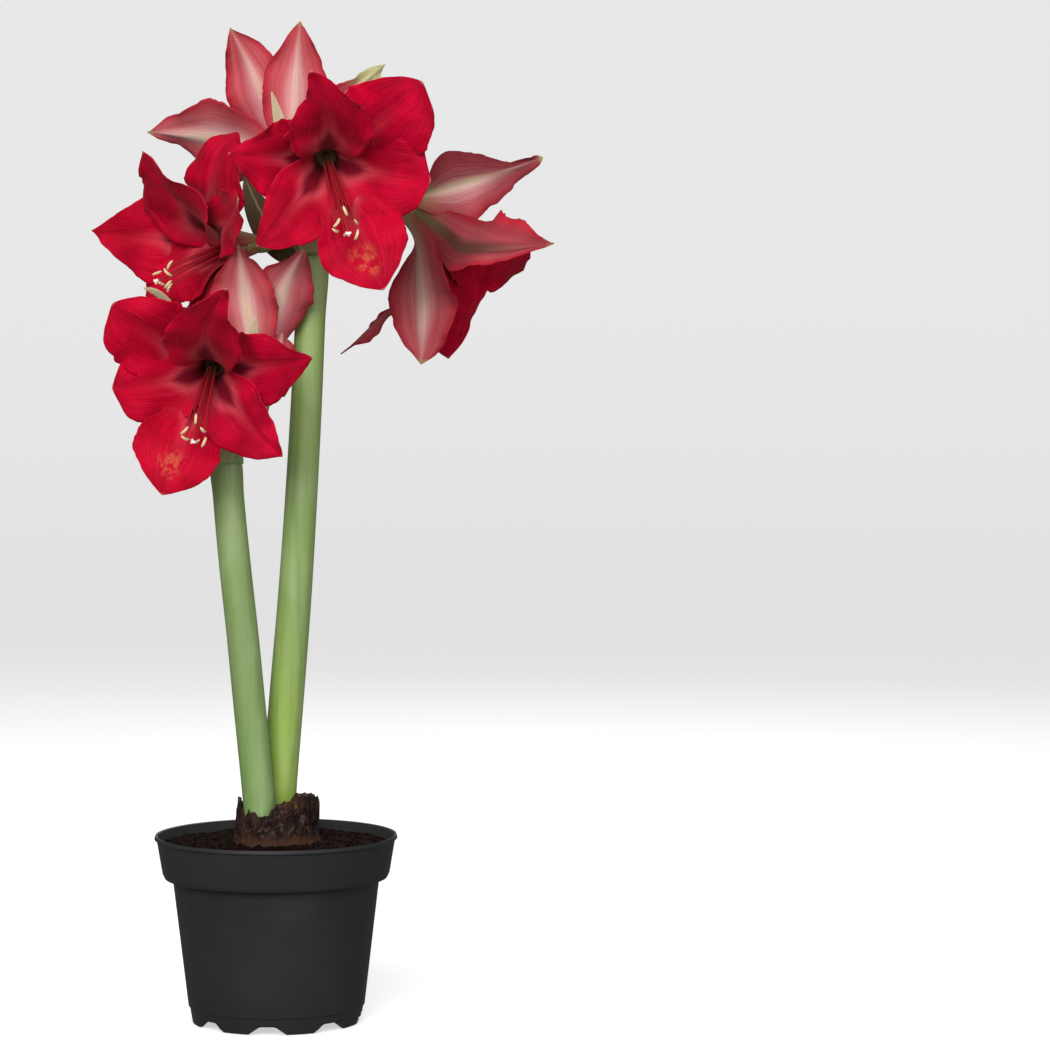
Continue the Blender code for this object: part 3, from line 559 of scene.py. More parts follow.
for form in NOTCH_CUTS:
    cut(pot, [notch_cutter(turn, *form) for turn in turns(NOTCHES, FIRST_NOTCH)])
cut(pot, [drain_cutter(turn) for turn in turns(DRAIN_HOLES, FIRST_NOTCH + 180.0 / DRAIN_HOLES)])
modify(pot, "BEVEL", width=MOULD_ROUND * MM, segments=2, limit_method="ANGLE",
       angle_limit=math.radians(24.0))
bpy.ops.object.shade_smooth_by_angle(angle=math.radians(32.0))
print("pot cut and bevelled:", len(pot.data.polygons), "faces")

# %% [markdown]
# The plastic is charcoal black with a soft sheen. Up close it shows faint sideways lines from the
# mould, a little dust that gathers in patches, and a slightly uneven gloss.

# %% Pot plastic
paint = Paint("pot_plastic")
where = paint.place()
dust = paint.noise(where, 22.0, 5.0, 0.6).step(0.45, 0.8)
rings = paint.noise(where, (6.0, 6.0, 900.0), 2.0)
grain = paint.noise(where, 2600.0, 2.0)
scratch = paint.noise(where, (60.0, 60.0, 1400.0), 3.0).step(0.62, 0.75)
black = paint.mix(dust * 0.35 + scratch * 0.12, (0.022, 0.022, 0.0225), (0.044, 0.043, 0.042))
wear(pot, paint.finish(black, dust * 0.12 + rings * 0.08 + 0.48, height=rings * 0.6 + grain * 0.25,
                       depth=0.00012, strength=0.45, Specular_IOR_Level=0.18))
keep(pot, "pot")

# %% [markdown]
# ## Uneven ground for natural things
# Soil, skin and petals are never quite even. A small lattice of random heights, eased from point to
# point, gives a smooth wandering value for any place. The seed keeps it the same on each run.

# %% Wandering values
def wander(a, b, seed, size=64):
    """Smooth random values from -1 to 1 over two coordinates, one lattice step apart."""
    lattice = np.random.default_rng(seed).uniform(-1.0, 1.0, (size, size))
    a, b = np.broadcast_arrays(np.asarray(a, float), np.asarray(b, float))
    ia, ib = np.floor(a).astype(int), np.floor(b).astype(int)
    fa, fb = smooth(a - ia), smooth(b - ib)
    ia, ib, ja, jb = ia % size, ib % size, (ia + 1) % size, (ib + 1) % size
    return ((1 - fa) * (1 - fb) * lattice[ia, ib] + fa * (1 - fb) * lattice[ja, ib]
            + (1 - fa) * fb * lattice[ia, jb] + fa * fb * lattice[ja, jb])


print("three wandering values:", wander([0.2, 1.7, 9.4], 3.3, 1).round(2))

# %% [markdown]
# ## The soil
# Potting soil is dark peat with coarse fibres. Its body fills the pot and swells a little towards
# the bulb. It is a tube like the others: its rings go up the wall and then inwards over the top,
# which is pushed up and down by wandering values of three sizes.

# %% Soil shape
SOIL_SIDES = 240
SOIL_EDGE = 80.6
SOIL_CROWN = 36.0                   # from here inwards the top is level
SOIL_INNER = 24.0                   # hidden under the bulb
SOIL_EDGE_HEIGHT = 124.0
SOIL_CROWN_HEIGHT = 125.4
# (radius, height) up the inside of the pot
SOIL_WALL = [(2.0, 8.3), (56.5, 8.3), (60.0, 12.1), (70.0, 99.4), (76.0, 103.4), (77.6, 105.7)]
# (size of the lumps, their height, place in the random field, seed)
SOIL_LUMPS = ((9.0, 0.9, 20, 3), (3.6, 0.9, 30, 4), (1.7, 0.55, 40, 5))


def soil_height(a, r):
    """Height of the soil's top at an azimuth and a radius."""
    x, y = r * np.cos(a), r * np.sin(a)
    inwards = np.clip((SOIL_EDGE - r) / (SOIL_EDGE - SOIL_CROWN), 0.0, 1.0)
    rise = (SOIL_CROWN_HEIGHT - SOIL_EDGE_HEIGHT) * inwards
    lumps = sum(high * wander(x / size + at, y / size + at, seed) for size, high, at, seed in SOIL_LUMPS)
    return SOIL_EDGE_HEIGHT + rise + lumps * smooth((SOIL_EDGE + 2.0 - r) / 4.0)


azimuth = full_turn(SOIL_SIDES)
rows = [level_ring(azimuth, r, h) for r, h in SOIL_WALL]
rows += [level_ring(azimuth, r, soil_height(azimuth, r)) for r in np.linspace(SOIL_EDGE, SOIL_INNER, 46)]
soil = shaped_sheet("potting_soil", rows, tube=True)
print("the soil has", len(soil.data.vertices), "corners")

# %% [markdown]
# Loose crumbs and bits of fibre lie on the top and cast the small shadows that make it look loose.
# Each is a copy of one small ball, squashed, turned and roughened at random. They are written into
# one mesh from lists of corners, because adding 1,500 objects one by one would be slow.

# %% Loose crumbs
CRUMBS = 1500
CRUMB_RING = (30.0, 79.5)           # the radii between which they lie
bpy.ops.object.select_all(action="DESELECT")
bpy.ops.mesh.primitive_ico_sphere_add(subdivisions=1, radius=1.0)
crumb = bpy.context.object
corner = np.array([v.co[:] for v in crumb.data.vertices])
crumb_faces = np.array([p.vertices[:] for p in crumb.data.polygons])
bpy.data.objects.remove(crumb, do_unlink=True)
rng = np.random.default_rng(11)
verts, faces = [], []
for k in range(CRUMBS):
    a, r = rng.uniform(0.0, 2.0 * math.pi), math.sqrt(rng.uniform(*np.square(CRUMB_RING)))
    size = rng.uniform(0.5, 1.7) * np.array([1.0, rng.uniform(0.5, 1.0), rng.uniform(0.4, 0.8)])
    if k % 6 == 0:                  # every sixth one is a bit of fibre
        size = np.array([rng.uniform(1.8, 3.6), 0.45, 0.4])
    spin, tip = rng.uniform(0.0, 2.0 * math.pi), rng.uniform(-0.5, 0.5)
    body = corner * (1.0 + 0.25 * rng.uniform(-1.0, 1.0, (len(corner), 1))) * size
    turn = np.array([[math.cos(spin), -math.sin(spin), 0], [math.sin(spin), math.cos(spin), 0], [0, 0, 1]])
    tilt = np.array([[math.cos(tip), 0, math.sin(tip)], [0, 1, 0], [-math.sin(tip), 0, math.cos(tip)]])
    at = (r * math.cos(a), r * math.sin(a), float(soil_height(a, r)) + 0.25 * size[2])
    faces.append(crumb_faces + len(verts) * len(corner))
    verts.append(body @ tilt.T @ turn.T + at)
crumb_mesh = bpy.data.meshes.new("crumbs")
crumb_mesh.from_pydata(in_frame(np.concatenate(verts)).tolist(), [], np.concatenate(faces).tolist())
crumbs = bpy.data.objects.new("crumbs", crumb_mesh)
bpy.context.scene.collection.objects.link(crumbs)
soil = joined([soil, crumbs], "potting_soil")
print("crumbs on the soil:", len(verts))

# %% [markdown]
# Damp peat is nearly black and has no shine. Clumps of two dark browns and small lighter flecks,
# which also give the relief, keep it from looking like one flat colour.

# %% Soil colour
paint = Paint("peat")
where = paint.place()
clump = paint.noise(where, 260.0, 4.0, 0.6)
fleck = paint.noise(where, 900.0, 3.0, 0.6).step(0.6, 0.72)
earth = paint.coats((0.004, 0.0018, 0.0012), (clump.step(0.35, 0.7), (0.016, 0.0065, 0.0038)),
                    (fleck * 0.5, (0.055, 0.023, 0.012)))
wear(soil, paint.finish(earth, 0.92, height=clump + fleck * 0.3, depth=0.0006, strength=0.8,
                        Specular_IOR_Level=0.05))
keep(soil, "soil")

# %% [markdown]
# ## The bulb
# An amaryllis bulb is a ball of fleshy scales wrapped in dry brown skins. The neck that stands out
# of the soil is where the old leaves were cut: skins torn at different heights, some curled. The
# core is a rolled-up sheet. Each skin is an open sheet wrapped part of the way round it, with its
# own ragged top, made solid by a Solidify modifier.

# %% Bulb core
BULB_AXIS = np.array([1.0, 2.0, 0.0])
BULB_SIDES = 160
# (radius, height) from the bottom over the belly and the neck to the hollow top
CORE_PROFILE = [
    (3.0, 62.5), (14.0, 62.5), (28.0, 70.0), (36.0, 82.0), (38.0, 96.0), (35.5, 108.0), (30.6, 120.0),
    (28.0, 128.0), (26.2, 136.0), (25.2, 143.0), (24.0, 145.5), (21.5, 145.0), (10.0, 144.0), (3.0, 144.0),
]
azimuth = full_turn(BULB_SIDES)
rows = []
for r, h in along(CORE_PROFILE, 70):
    ripple = 0.5 * wander(azimuth * 9.0, h / 14.0, 7) + 0.35 * wander(azimuth * 24.0, h / 30.0, 8)
    rows.append(level_ring(azimuth, r * (1.0 + 0.02 * ripple), h) + BULB_AXIS)
bulb_parts = [shaped_sheet("bulb_core", rows, tube=True)]
print("bulb core in", len(rows), "rings")

# %% [markdown]
# A skin's top edge is torn by wandering values of three sizes, falls away at both ends and curls in
# or out. Nine of them overlap round the neck. The higher ones make the horns of the torn outline.

# %% Bulb skins
SKIN_THICKNESS = 0.5


def bulb_skin(middle, width, radius_low, radius_high, low, high, torn, curl, seed, rows=26, columns=60):
    """A dry skin round part of the neck; angles in degrees, 0 to the right and -90 to the front."""
    u, v = np.linspace(-1.0, 1.0, columns + 1), np.linspace(0.0, 1.0, rows + 1)
    angle = np.radians(middle + 0.5 * width * u)
    top = high + torn * (wander(u * 4.0 + 9.0, seed, seed) + 0.6 * wander(u * 11.0 + 20.0, seed, seed + 1)
                         + 0.15 * wander(u * 26.0 + 30.0, seed, seed + 2)) - 0.35 * (high - low) * u ** 6
    points = []
    for t in v:
        h = low + (top - low) * t
        fold = wander(u * 7.0 + 5.0, t * 3.0 + seed, seed + 3)
        fold = fold + 0.5 * wander(u * 18.0 + 8.0, t * 5.0, seed + 4)
        r = radius_low + (radius_high - radius_low) * t + curl * t ** 5 + 0.45 * fold * (0.4 + t)
        points.append(level_ring(angle, r + 0.9 * np.abs(u) ** 5, h) + BULB_AXIS)
    skin = shaped_sheet("skin", points)
    modify(skin, "SOLIDIFY", thickness=SKIN_THICKNESS * MM, offset=0.0)
    return skin


# (middle, width, radius below and above, low, high, torn, curl); each takes the next seed
SKINS = (
    (100, 170, 30.8, 26.8, 120, 150, 1.6, 0.4), (-52, 150, 31.2, 24.6, 120, 148, 1.6, 0.2),
    (205, 110, 31.2, 28.0, 120, 149, 1.6, -0.4), (197, 34, 28.8, 27.4, 134, 157.5, 0.8, -0.6),
    (-120, 66, 31.5, 29.0, 120, 146, 1.2, 0.6), (-70, 48, 30.0, 27.6, 126, 156.5, 1.0, -0.8),
    (-42, 60, 28.4, 28.2, 140, 161.5, 0.9, -1.6), (-8, 52, 28.8, 29.0, 141, 157.0, 0.8, -1.4),
    (-84, 30, 29.4, 28.4, 132, 153.0, 1.4, -0.4),
)
bulb_parts += [bulb_skin(*form, seed) for seed, form in enumerate(SKINS, start=21)]
bulb = joined(bulb_parts, "amaryllis_bulb")
print("skins round the neck:", len(SKINS))

# %% [markdown]
# Dry skin is chestnut brown, nearly black in the folds, with lighter flakes and lengthwise fibres, a
# few pale torn patches and a trace of green where the leaves were. Low down it is smoother and
# warmer. Noise that is stretched along the neck gives the fibres.

# %% Bulb colour
paint = Paint("dry_skin")
where = paint.place()
x, _, z = paint.parts(where)
fibre = paint.noise(where, (330.0, 330.0, 90.0), 4.0, 0.6)
flakes = paint.noise(where, 330.0, 4.0, 0.65)
patch = paint.noise(where, 75.0, 4.0, 0.6)
pale = paint.noise(where, 120.0, 3.0, 0.6).step(0.58, 0.7)
green = paint.noise(where, (260.0, 260.0, 90.0), 1.0).step(0.66, 0.74)
fold = x.step(0.0215, 0.0245) * z.step(0.1402, 0.1415) * z.fade(0.1445, 0.147)
skin_colour = paint.coats(
    (0.006, 0.0024, 0.002),
    (patch.step(0.44, 0.7), (0.038, 0.015, 0.01)),
    (flakes.step(0.5, 0.7) * 0.75, (0.09, 0.046, 0.032)),
    (z.fade(0.127, 0.135) * 0.75, (0.072, 0.03, 0.015)),
    (fibre.step(0.5, 0.8) * 0.45, (0.1, 0.05, 0.029)),
    (pale * 0.45, (0.17, 0.108, 0.078)),
    (fold * 0.8, (0.26, 0.19, 0.15)),
    (green * 0.7 * z.step(0.134, 0.142), (0.16, 0.14, 0.035)))
wear(bulb, paint.finish(skin_colour, 0.62 + patch * 0.25, height=flakes + patch * 0.8, depth=0.001,
                        strength=0.9, Specular_IOR_Level=0.15))
keep(bulb, "bulb")

# %% [markdown]
# ## The stalks
# The two scapes are hollow, leafless and as thick as a thumb. They stay nearly the same width all
# the way and end in a short dome, from which each flower's own stalk grows. Every flower stalk
# bends over, and swells into the three-sided ovary just behind the bloom. All of them are
# rolled-up grids along a line, with the radius given at each point.

# %% Stalk shapes
# (x, y, height, radius) from the socket in the bulb to the head
TALL_SCAPE = [
    (0.0, 13.5, 134.3, 12.0), (1.8, 14.0, 165, 12.2), (6.8, 14.5, 226, 12.2), (12.6, 15.0, 295, 11.8),
    (17.4, 15.0, 365, 11.3), (21.5, 14.5, 435, 10.9), (24.2, 14.0, 490, 10.6), (26.2, 14.0, 538, 10.8),
    (26.4, 14.0, 546, 9.6), (26.5, 14.0, 551, 5.5),
]
SHORT_SCAPE = [
    (-9.6, -11.0, 134.3, 11.0), (-12.0, -11.0, 165, 11.2), (-17.8, -11.0, 226, 11.2),
    (-22.4, -11.5, 275, 11.1), (-27.4, -12.0, 323, 11.0), (-31.4, -12.0, 368, 10.8),
    (-33.2, -12.0, 394, 10.9), (-33.5, -12.0, 401, 9.6), (-33.6, -12.0, 405, 5.5),
]
STALK_SIDES = 44
PEDICEL_SIDES = 24
PEDICEL_RADIUS = 3.9
OVARY_RADIUS = 6.4
OVARY_LENGTH = 17.0
# yaw 0 faces the viewer and grows to the right, pitch is up from level; base is the ovary's end;
# the stamens sink towards droop, by sag times their length, and reach is that length's share
FACING = {
    "tall_front": dict(base=(37, -16, 604), yaw=5, pitch=-14, droop=-70, sag=0.38, reach=1.05),
    "tall_back": dict(base=(12, 22, 578), yaw=188, pitch=45, droop=-90, sag=0.3, reach=0.84),
    "tall_right": dict(base=(84, 8, 574), yaw=118, pitch=-30, droop=-105, sag=0.15, reach=0.68),
    "tall_left": dict(base=(-14, 5, 543), yaw=-48, pitch=-4, droop=-50, sag=0.31, reach=1.0),
    "short_front": dict(base=(-39, -20, 461), yaw=-5, pitch=-14, droop=-92, sag=0.34, reach=1.0),
    "short_back": dict(base=(-10, -23, 427), yaw=-172, pitch=64, droop=-90, sag=0.33, reach=1.0),
}


def bloom_frame(bloom):
    """The end of the ovary, the axis out of the mouth, and the bloom's right and up."""
    yaw, pitch = math.radians(bloom["yaw"]), math.radians(bloom["pitch"])
    axis = np.array([math.sin(yaw) * math.cos(pitch), -math.cos(yaw) * math.cos(pitch), math.sin(pitch)])
    right = np.array([math.cos(yaw), math.sin(yaw), 0.0])
    return np.array(bloom["base"], float), axis, right, np.cross(axis, right)


def scape(name, line, keys):
    """The stout stalk and the flower stalks that grow from its head."""
    stations = along(line, 90)
    body = tube_piece("stalk", stations[:, :3], stations[:, 3], STALK_SIDES, squash=0.97, flutes=0.004)
    mark(body, "ovary", 0.0)
    parts = [body]
    head = np.array(line[-1][:3], float) - (0.0, 0.0, 5.0)
    for key in keys:
        base, axis, _, _ = bloom_frame(FACING[key])
        back = base - OVARY_LENGTH * axis
        reach = np.linalg.norm(back - head)
        leave = unit((back - head) * (0.35, 0.35, 0.0) + (0.0, 0.0, reach))
        neck = bezier(head, head + 0.45 * reach * leave, back - 0.26 * reach * axis, back, 26)
        t = np.linspace(0.08, 1.0, 14)
        swell = [back + share * OVARY_LENGTH * axis for share in t]
        thick = PEDICEL_RADIUS + (OVARY_RADIUS - PEDICEL_RADIUS) * smooth(t / 0.55)
        thick = thick - 0.9 * smooth((t - 0.8) / 0.2)
        radii = np.concatenate([np.full(len(neck), PEDICEL_RADIUS), thick])
        part = tube_piece("flower_stalk", np.concatenate([neck, swell]), radii, PEDICEL_SIDES, lobes=0.06)
        where = np.array([v.co[:] for v in part.data.vertices]) - in_frame(back)
        mark(part, "ovary", smooth((where @ axis) / MM / OVARY_LENGTH))
        parts.append(part)
    return joined(parts, name)


tall_scape = scape("tall_scape", TALL_SCAPE, ["tall_front", "tall_back", "tall_right", "tall_left"])
short_scape = scape("short_scape", SHORT_SCAPE, ["short_front", "short_back"])
print("stalks of", len(tall_scape.data.vertices), "and", len(short_scape.data.vertices), "corners")

# %% [markdown]
# The skin of a scape is waxy green with fine lengthwise lines, cloudy lighter patches and, low down
# on the taller one, a bright yellow-green where it grew in the dark of the bulb.

# %% Stalk colour
def scape_paint(name, low_colour, mid_colour, high_colour, turn_height):
    """Waxy green that changes up the stalk, with lines along it."""
    paint = Paint(name)
    where = paint.place()
    z = paint.parts(where)[2]
    line = paint.noise(where, (900.0, 900.0, 14.0), 3.0, 0.55)
    streak = paint.noise(where, (190.0, 190.0, 9.0), 2.0)
    cloud = paint.noise(where, (50.0, 50.0, 18.0), 3.0)
    green = paint.coats(
        low_colour,
        (z.step(0.14, turn_height), mid_colour),
        (z.step(turn_height, 0.56), high_colour),
        (cloud.step(0.38, 0.7) * 0.45, (0.33, 0.42, 0.2)),
        (streak.step(0.5, 0.75) * 0.35, (0.09, 0.17, 0.04)),
        (line.step(0.5, 0.8) * 0.3, (0.4, 0.47, 0.24)),
        (paint.attribute("ovary") * 0.6, (0.2, 0.3, 0.07)))
    return paint.finish(green, 0.42 + cloud * 0.12, height=line + streak * 0.5, depth=0.0002, strength=0.5,
                        Coat_Weight=0.08, Coat_Roughness=0.35)


COLLAR_GREEN = (0.15, 0.24, 0.07)
TALL_GREENS = ((0.29, 0.43, 0.05), (0.205, 0.3, 0.08), (0.215, 0.32, 0.078))
SHORT_GREENS = ((0.17, 0.29, 0.075), (0.185, 0.27, 0.085), (0.175, 0.275, 0.065))
COLLAR = scape_paint("collar_skin", COLLAR_GREEN, COLLAR_GREEN, COLLAR_GREEN, 0.3)
wear(tall_scape, scape_paint("tall_scape_skin", *TALL_GREENS, 0.3))
wear(short_scape, scape_paint("short_scape_skin", *SHORT_GREENS, 0.26))
keep(tall_scape, "scape_tall")
keep(short_scape, "scape_short")

# %% [markdown]
# ## The shape of a petal
# A bloom has two rings of three petals. Low down they lean on each other as a tube, then each one
# bends out, widens and curls back. Seen from the side, the line along its middle leaves the bloom's
# axis at a small slope, opens to the spread angle and ends at the curl angle, so that line can be
# added up step by step. Its width grows to the widest place and narrows to the tip. The same numbers
# made the plain solids.

# %% Petal outline
TUBE_RADIUS = 6.0
TUBE_SLOPE = 14.0
PETAL_ROWS = 84
EVEN = (1.0, 1.0, 1.0, 1.0, 1.0)    # the outline as the formula gives it, at five places
TRIM_AT = (0.15, 0.35, 0.5, 0.65, 0.8, 0.93, 1.0)
PLAIN_PETAL = dict(flare=(0.12, 0.54), widest=0.6, sway=0.0, twist=0.0, turn=(0.3, 1.0), point=0.5, left=EVEN,
                   right=EVEN, pale=0.4, pollen=0.0, dusk=(0.0, 0.0, 0.0, 0.0), stripe=0.0, green_tip=0.0,
                   frill=1.0)


def petal(angle, length, width, spread, curl, **special):
    """Where a petal points (degrees), its size and bend, and what makes it unlike a plain one."""
    return dict(PLAIN_PETAL, angle=angle, length=length, width=width, spread=spread, curl=curl, **special)


def middle_line(leaf):
    """Where a petal's rows lie, and there the distance out and ahead and the slope of its middle."""
    steps = 200
    s = np.linspace(0.0, 1.0, steps + 1)
    flare_start, flare_end = leaf["flare"]
    slope = TUBE_SLOPE + (leaf["spread"] - TUBE_SLOPE) * smooth((s - flare_start) / (flare_end - flare_start))
    slope = np.radians(slope + (leaf["curl"] - leaf["spread"]) * smooth((s - 0.5) / 0.5))
    between = (slope[1:] + slope[:-1]) / 2.0
    start = TUBE_RADIUS + (0.8 if leaf["outer"] else 0.0)
    out = start + np.concatenate([[0.0], np.cumsum(np.sin(between))]) * leaf["length"] / steps
    ahead = np.concatenate([[0.0], np.cumsum(np.cos(between))]) * leaf["length"] / steps
    at = np.linspace(0.0, 1.0, PETAL_ROWS + 1) ** 0.92
    return at, *(np.interp(at, s, values) for values in (out, ahead, slope))


def half_width(leaf, at, root_radius):
    """Half the width of a petal at each row, before its two sides are trimmed."""
    widest = leaf["widest"]
    root_half = math.pi * root_radius / 6.0 * 1.35
    half = root_half + (leaf["width"] / 2.0 - root_half) * smooth(at / widest) ** 0.85
    narrowing = ((at - widest) / (1.0 - widest)).clip(0.0) ** (2.0 - 0.8 * leaf["point"])
    half = half * np.clip(1.0 - narrowing, 0.0, 1.0) ** (0.75 + 0.35 * leaf["point"])
    return np.maximum(half, 0.5)


print("a petal sheet has", PETAL_ROWS, "rows")

# %% [markdown]
# Across its middle line, the petal starts as part of the tube's round and flattens. Its edge is
# gently ruffled and nicked, its blade has soft cushions and a crease along the middle. Each row of
# the sheet is bent on its own and set on the line. The plain solids have the same form, but here the
# sheet is ten times finer, thinner at the rim, and gets the crumpled edge.

# %% Petal surface
PETAL_COLUMNS = 30
PETAL_THICKNESS = 0.9
GAP = 0.5                           # air between the ovary's end and the petals
RUFFLE = 2.5
RUFFLE_WAVES = 3.6
CREASE = 2.0


def petal_points(bloom, leaf, order, seed):
    """Points of a petal's middle surface, in rows from the tube to the tip."""
    base, axis, right, up = bloom_frame(bloom)
    at, out, ahead, slope = middle_line(leaf)
    half = half_width(leaf, at, out[0])
    left_trim, right_trim = (np.interp(at, TRIM_AT, (1.0, *leaf[side], 1.0)) for side in ("left", "right"))
    flat = smooth((at - 0.18) / 0.34) if leaf["outer"] else smooth((at - 0.36) / 0.36)
    bend = (1.0 - flat) / np.maximum(out, 1.0)
    across = np.linspace(-1.0, 1.0, PETAL_COLUMNS + 1)
    rim = np.abs(across)
    points = []
    root, angle = math.radians(leaf["root"]), math.radians(leaf["angle"])
    turn_start, turn_end = leaf["turn"]
    for i, t in enumerate(at):
        turn = root + (angle - root) * smooth(t / 0.45) + math.radians(leaf["sway"]) * t ** 2
        outward = math.cos(turn) * right + math.sin(turn) * up
        side = -math.sin(turn) * right + math.cos(turn) * up
        inward = math.sin(slope[i]) * axis - math.cos(slope[i]) * outward
        twist = math.radians(leaf["twist"]) * smooth((t - turn_start) / (turn_end - turn_start))
        side, inward = (math.cos(twist) * side + math.sin(twist) * inward,
                        math.cos(twist) * inward - math.sin(twist) * side)
        edge = smooth((t - 0.35) / 0.25) * smooth((1.03 - t) / 0.12)
        nicks = (wander(t * 22.0, 3.0 + np.sign(across), seed)
                 + 0.6 * wander(t * 55.0, 9.0 + np.sign(across), seed + 1))
        ragged = 1.0 + 0.028 * leaf["frill"] * edge * nicks * rim
        x = half[i] * across * ragged * np.where(across > 0.0, left_trim[i], right_trim[i])
        arc = np.clip(bend[i] * x, -2.6, 2.6)
        lateral = np.sin(arc) / bend[i] if bend[i] > 1e-4 else x
        depth = (1.0 - np.cos(arc)) / bend[i] if bend[i] > 1e-4 else 0.0 * x
        wave = np.sin(2 * math.pi * RUFFLE_WAVES * t + 1.3 * order + np.where(across > 0, 0.0, 1.7))
        depth = depth + RUFFLE * edge * rim ** 2.2 * wave
        frill = wander(t * 26.0, 5.0 + 2.0 * np.sign(across), seed + 2) * rim ** 5
        depth = depth + 1.1 * edge * frill
        cushion = wander(t * 5.0 + 7.0, across * 2.0 + 12.0, seed + 3) * smooth((t - 0.3) / 0.3)
        depth = depth + 0.9 * cushion * smooth((1.0 - t) / 0.2)
        depth = depth - CREASE * flat[i] * np.exp(-(across / 0.22) ** 2) * smooth((1.0 - t) / 0.2)
        lift = 0.0 if leaf["outer"] else 0.9 + 4.0 * smooth(t / 0.45)
        centre = ahead[i] * axis + out[i] * outward + lift * inward
        points.append(centre + lateral[:, None] * side + depth[:, None] * inward)
    return points + base + GAP * axis


def petal_piece(bloom, leaf, order, seed):
    """A petal as a thin solid: slot 0 is its back, slot 1 its face."""
    sheet = shaped_sheet("petal", petal_points(bloom, leaf, order, seed))
    uv = np.zeros(len(sheet.data.loops) * 2)
    sheet.data.uv_layers[0].data.foreach_get("uv", uv)
    across, along_it = np.zeros((2, len(sheet.data.vertices)))
    for loop, u, v in zip(sheet.data.loops, uv[0::2], uv[1::2]):
        across[loop.vertex_index] = 2.0 * u - 1.0
        along_it[loop.vertex_index] = v
    # painted shade: each side of a petal's back that turns away from the light is darkened, by its own amount
    # towards the tip
    left, right, left_tip, right_tip = leaf["dusk"]
    near_tip = smooth((along_it - 0.45) / 0.25)
    on_left, on_right = (np.interp(across, (-0.12, 0.12), ends) for ends in ((0.0, 1.0), (1.0, 0.0)))
    mark(sheet, "dusk", on_left * (left + (left_tip - left) * near_tip)
         + on_right * (right + (right_tip - right) * near_tip))
    group = sheet.vertex_groups.new(name="thickness")
    for index, share in enumerate(np.abs(across)):
        group.add([index], 1.0 - 0.55 * float(share), "REPLACE")
    wear(sheet, PETAL_BACK, PETAL_FACE)
    modify(sheet, "SOLIDIFY", thickness=PETAL_THICKNESS * MM, offset=0.0, vertex_group="thickness",
           material_offset=1)
    sheet.vertex_groups.clear()
    for name in ("pale", "pollen", "stripe", "green_tip"):
        mark(sheet, name, leaf[name])
    mark(sheet, "own", (seed * 0.37) % 1.0)
    return sheet


print("a petal has", PETAL_ROWS * PETAL_COLUMNS, "squares on each side")

# %% [markdown]
# ## The two sides of a petal
# Both sides have fine streaks and veins that run from the tube to the tip and bow out with the
# petal. They are painted on the petal's own UV map: across is -1 to 1 from edge to edge, v is 0 in
# the tube and 1 at the tip. The veins are a sine across the petal that noise pushes aside, and the
# streaks are noise drawn out along it. One function gives both sides their own sizes of them.

# %% Petal patterns
def petal_patterns(paint, fine_size, bundle_size, broad_size, veins):
    """What both sides share: across, v, the petal's own number, three sizes of streaks, and veins."""
    u, v, _ = paint.parts(paint.place("UV"))
    across = u * 2.0 - 1.0
    own = paint.attribute("own")
    wobble = paint.noise(paint.vector(across * 1.6 + own * 9.0, v * 3.0), 2.0, 2.0) - 0.5
    lane = across + wobble * 0.16

    def streaks(size, shift, *detail):
        return paint.noise(paint.vector(lane * size[0] + own * shift, v * size[1]), 1.0, *detail)

    sway = paint.noise(paint.vector(lane * 3.0, v * 6.0), 2.0) * 4.0
    vein = (lane * veins + sway).sine().step(0.2, 1.0)
    return (across, v, own, streaks(fine_size, 40.0, 3.0, 0.65), streaks(bundle_size, 17.0, 2.0),
            streaks(broad_size, 30.0, 2.0), vein)


def petal_finish(paint, colour, roughness, fine, vein, shine):
    """Soft velvet with the relief of its veins."""
    return paint.finish(colour, roughness, height=fine + vein * 0.5, depth=0.0003, strength=0.5,
                        Specular_IOR_Level=shine, Sheen_Weight=0.03, Sheen_Roughness=0.4)


print("petal patterns ready")

# %% [markdown]
# The face is a saturated crimson with darker veins. Near the mouth it has a paler ray along its
# middle, and from the throat a soft, dark crimson tongue reaches into it: partly the petal's own
# darker crimson, partly painted shade deep in the bloom. Round the tongue a pale pink haze is partly
# paler colour and partly a painted highlight, and a dark line in the crease along the middle is
# painted shade. Only the bottom of the tube is green. Two lower petals caught some pollen. The
# colour is a list of coats, laid one over the other with a mask as its share, as a painter would
# glaze it.

# %% Petal face
paint = Paint("petal_face")
where = paint.place()
across, v, own, fine, bundle, broad, vein = petal_patterns(paint, (70.0, 3.0), (16.0, 1.6), (7.0, 1.3), 118.0)
aside = abs(across)
cloud = paint.noise(where, 42.0, 3.0)
ray = aside.fade(0.02, 0.26) * v.step(0.24, 0.36) * v.fade(0.45, 0.85) * fine.step(0.25, 0.6, 0.35, 1.0)
mouth = v.step(0.2, 0.27) * v.fade(0.33, 0.5) * aside.fade(0.45, 0.95)
# painted shade: a darker line in the crease along the middle of the face
groove = aside.fade(0.0, 0.04)
reach = aside + v.step(0.34, 0.6) * 0.42 + (fine - 0.5) * 0.12
# pale pink round the tongue: partly paler colour, partly a painted highlight
haze_and_highlight = reach.fade(0.3, 0.7) * v.fade(0.42, 0.66) * v.step(0.15, 0.26)
# the dark tongue: partly the petal's own darker crimson, partly painted shade deep in the bloom
tongue_and_shade = reach.fade(0.14, 0.48) * v.step(0.05, 0.1)
throat = (v + (fine - 0.5) * 0.1).fade(0.12, 0.24)
tube_bottom = (v + (fine - 0.5) * 0.06).fade(0.045, 0.095)
dusting = paint.noise(where, 1700.0, 2.0, 0.7).step(0.44, 0.62)
heap = paint.noise(where, 160.0, 2.0, 0.7).step(0.44, 0.6)
spot = (heap * v.step(0.66, 0.76) * v.fade(0.84, 0.93)
        * paint.attribute("pollen") * abs(across + 0.08).fade(0.12, 0.42))
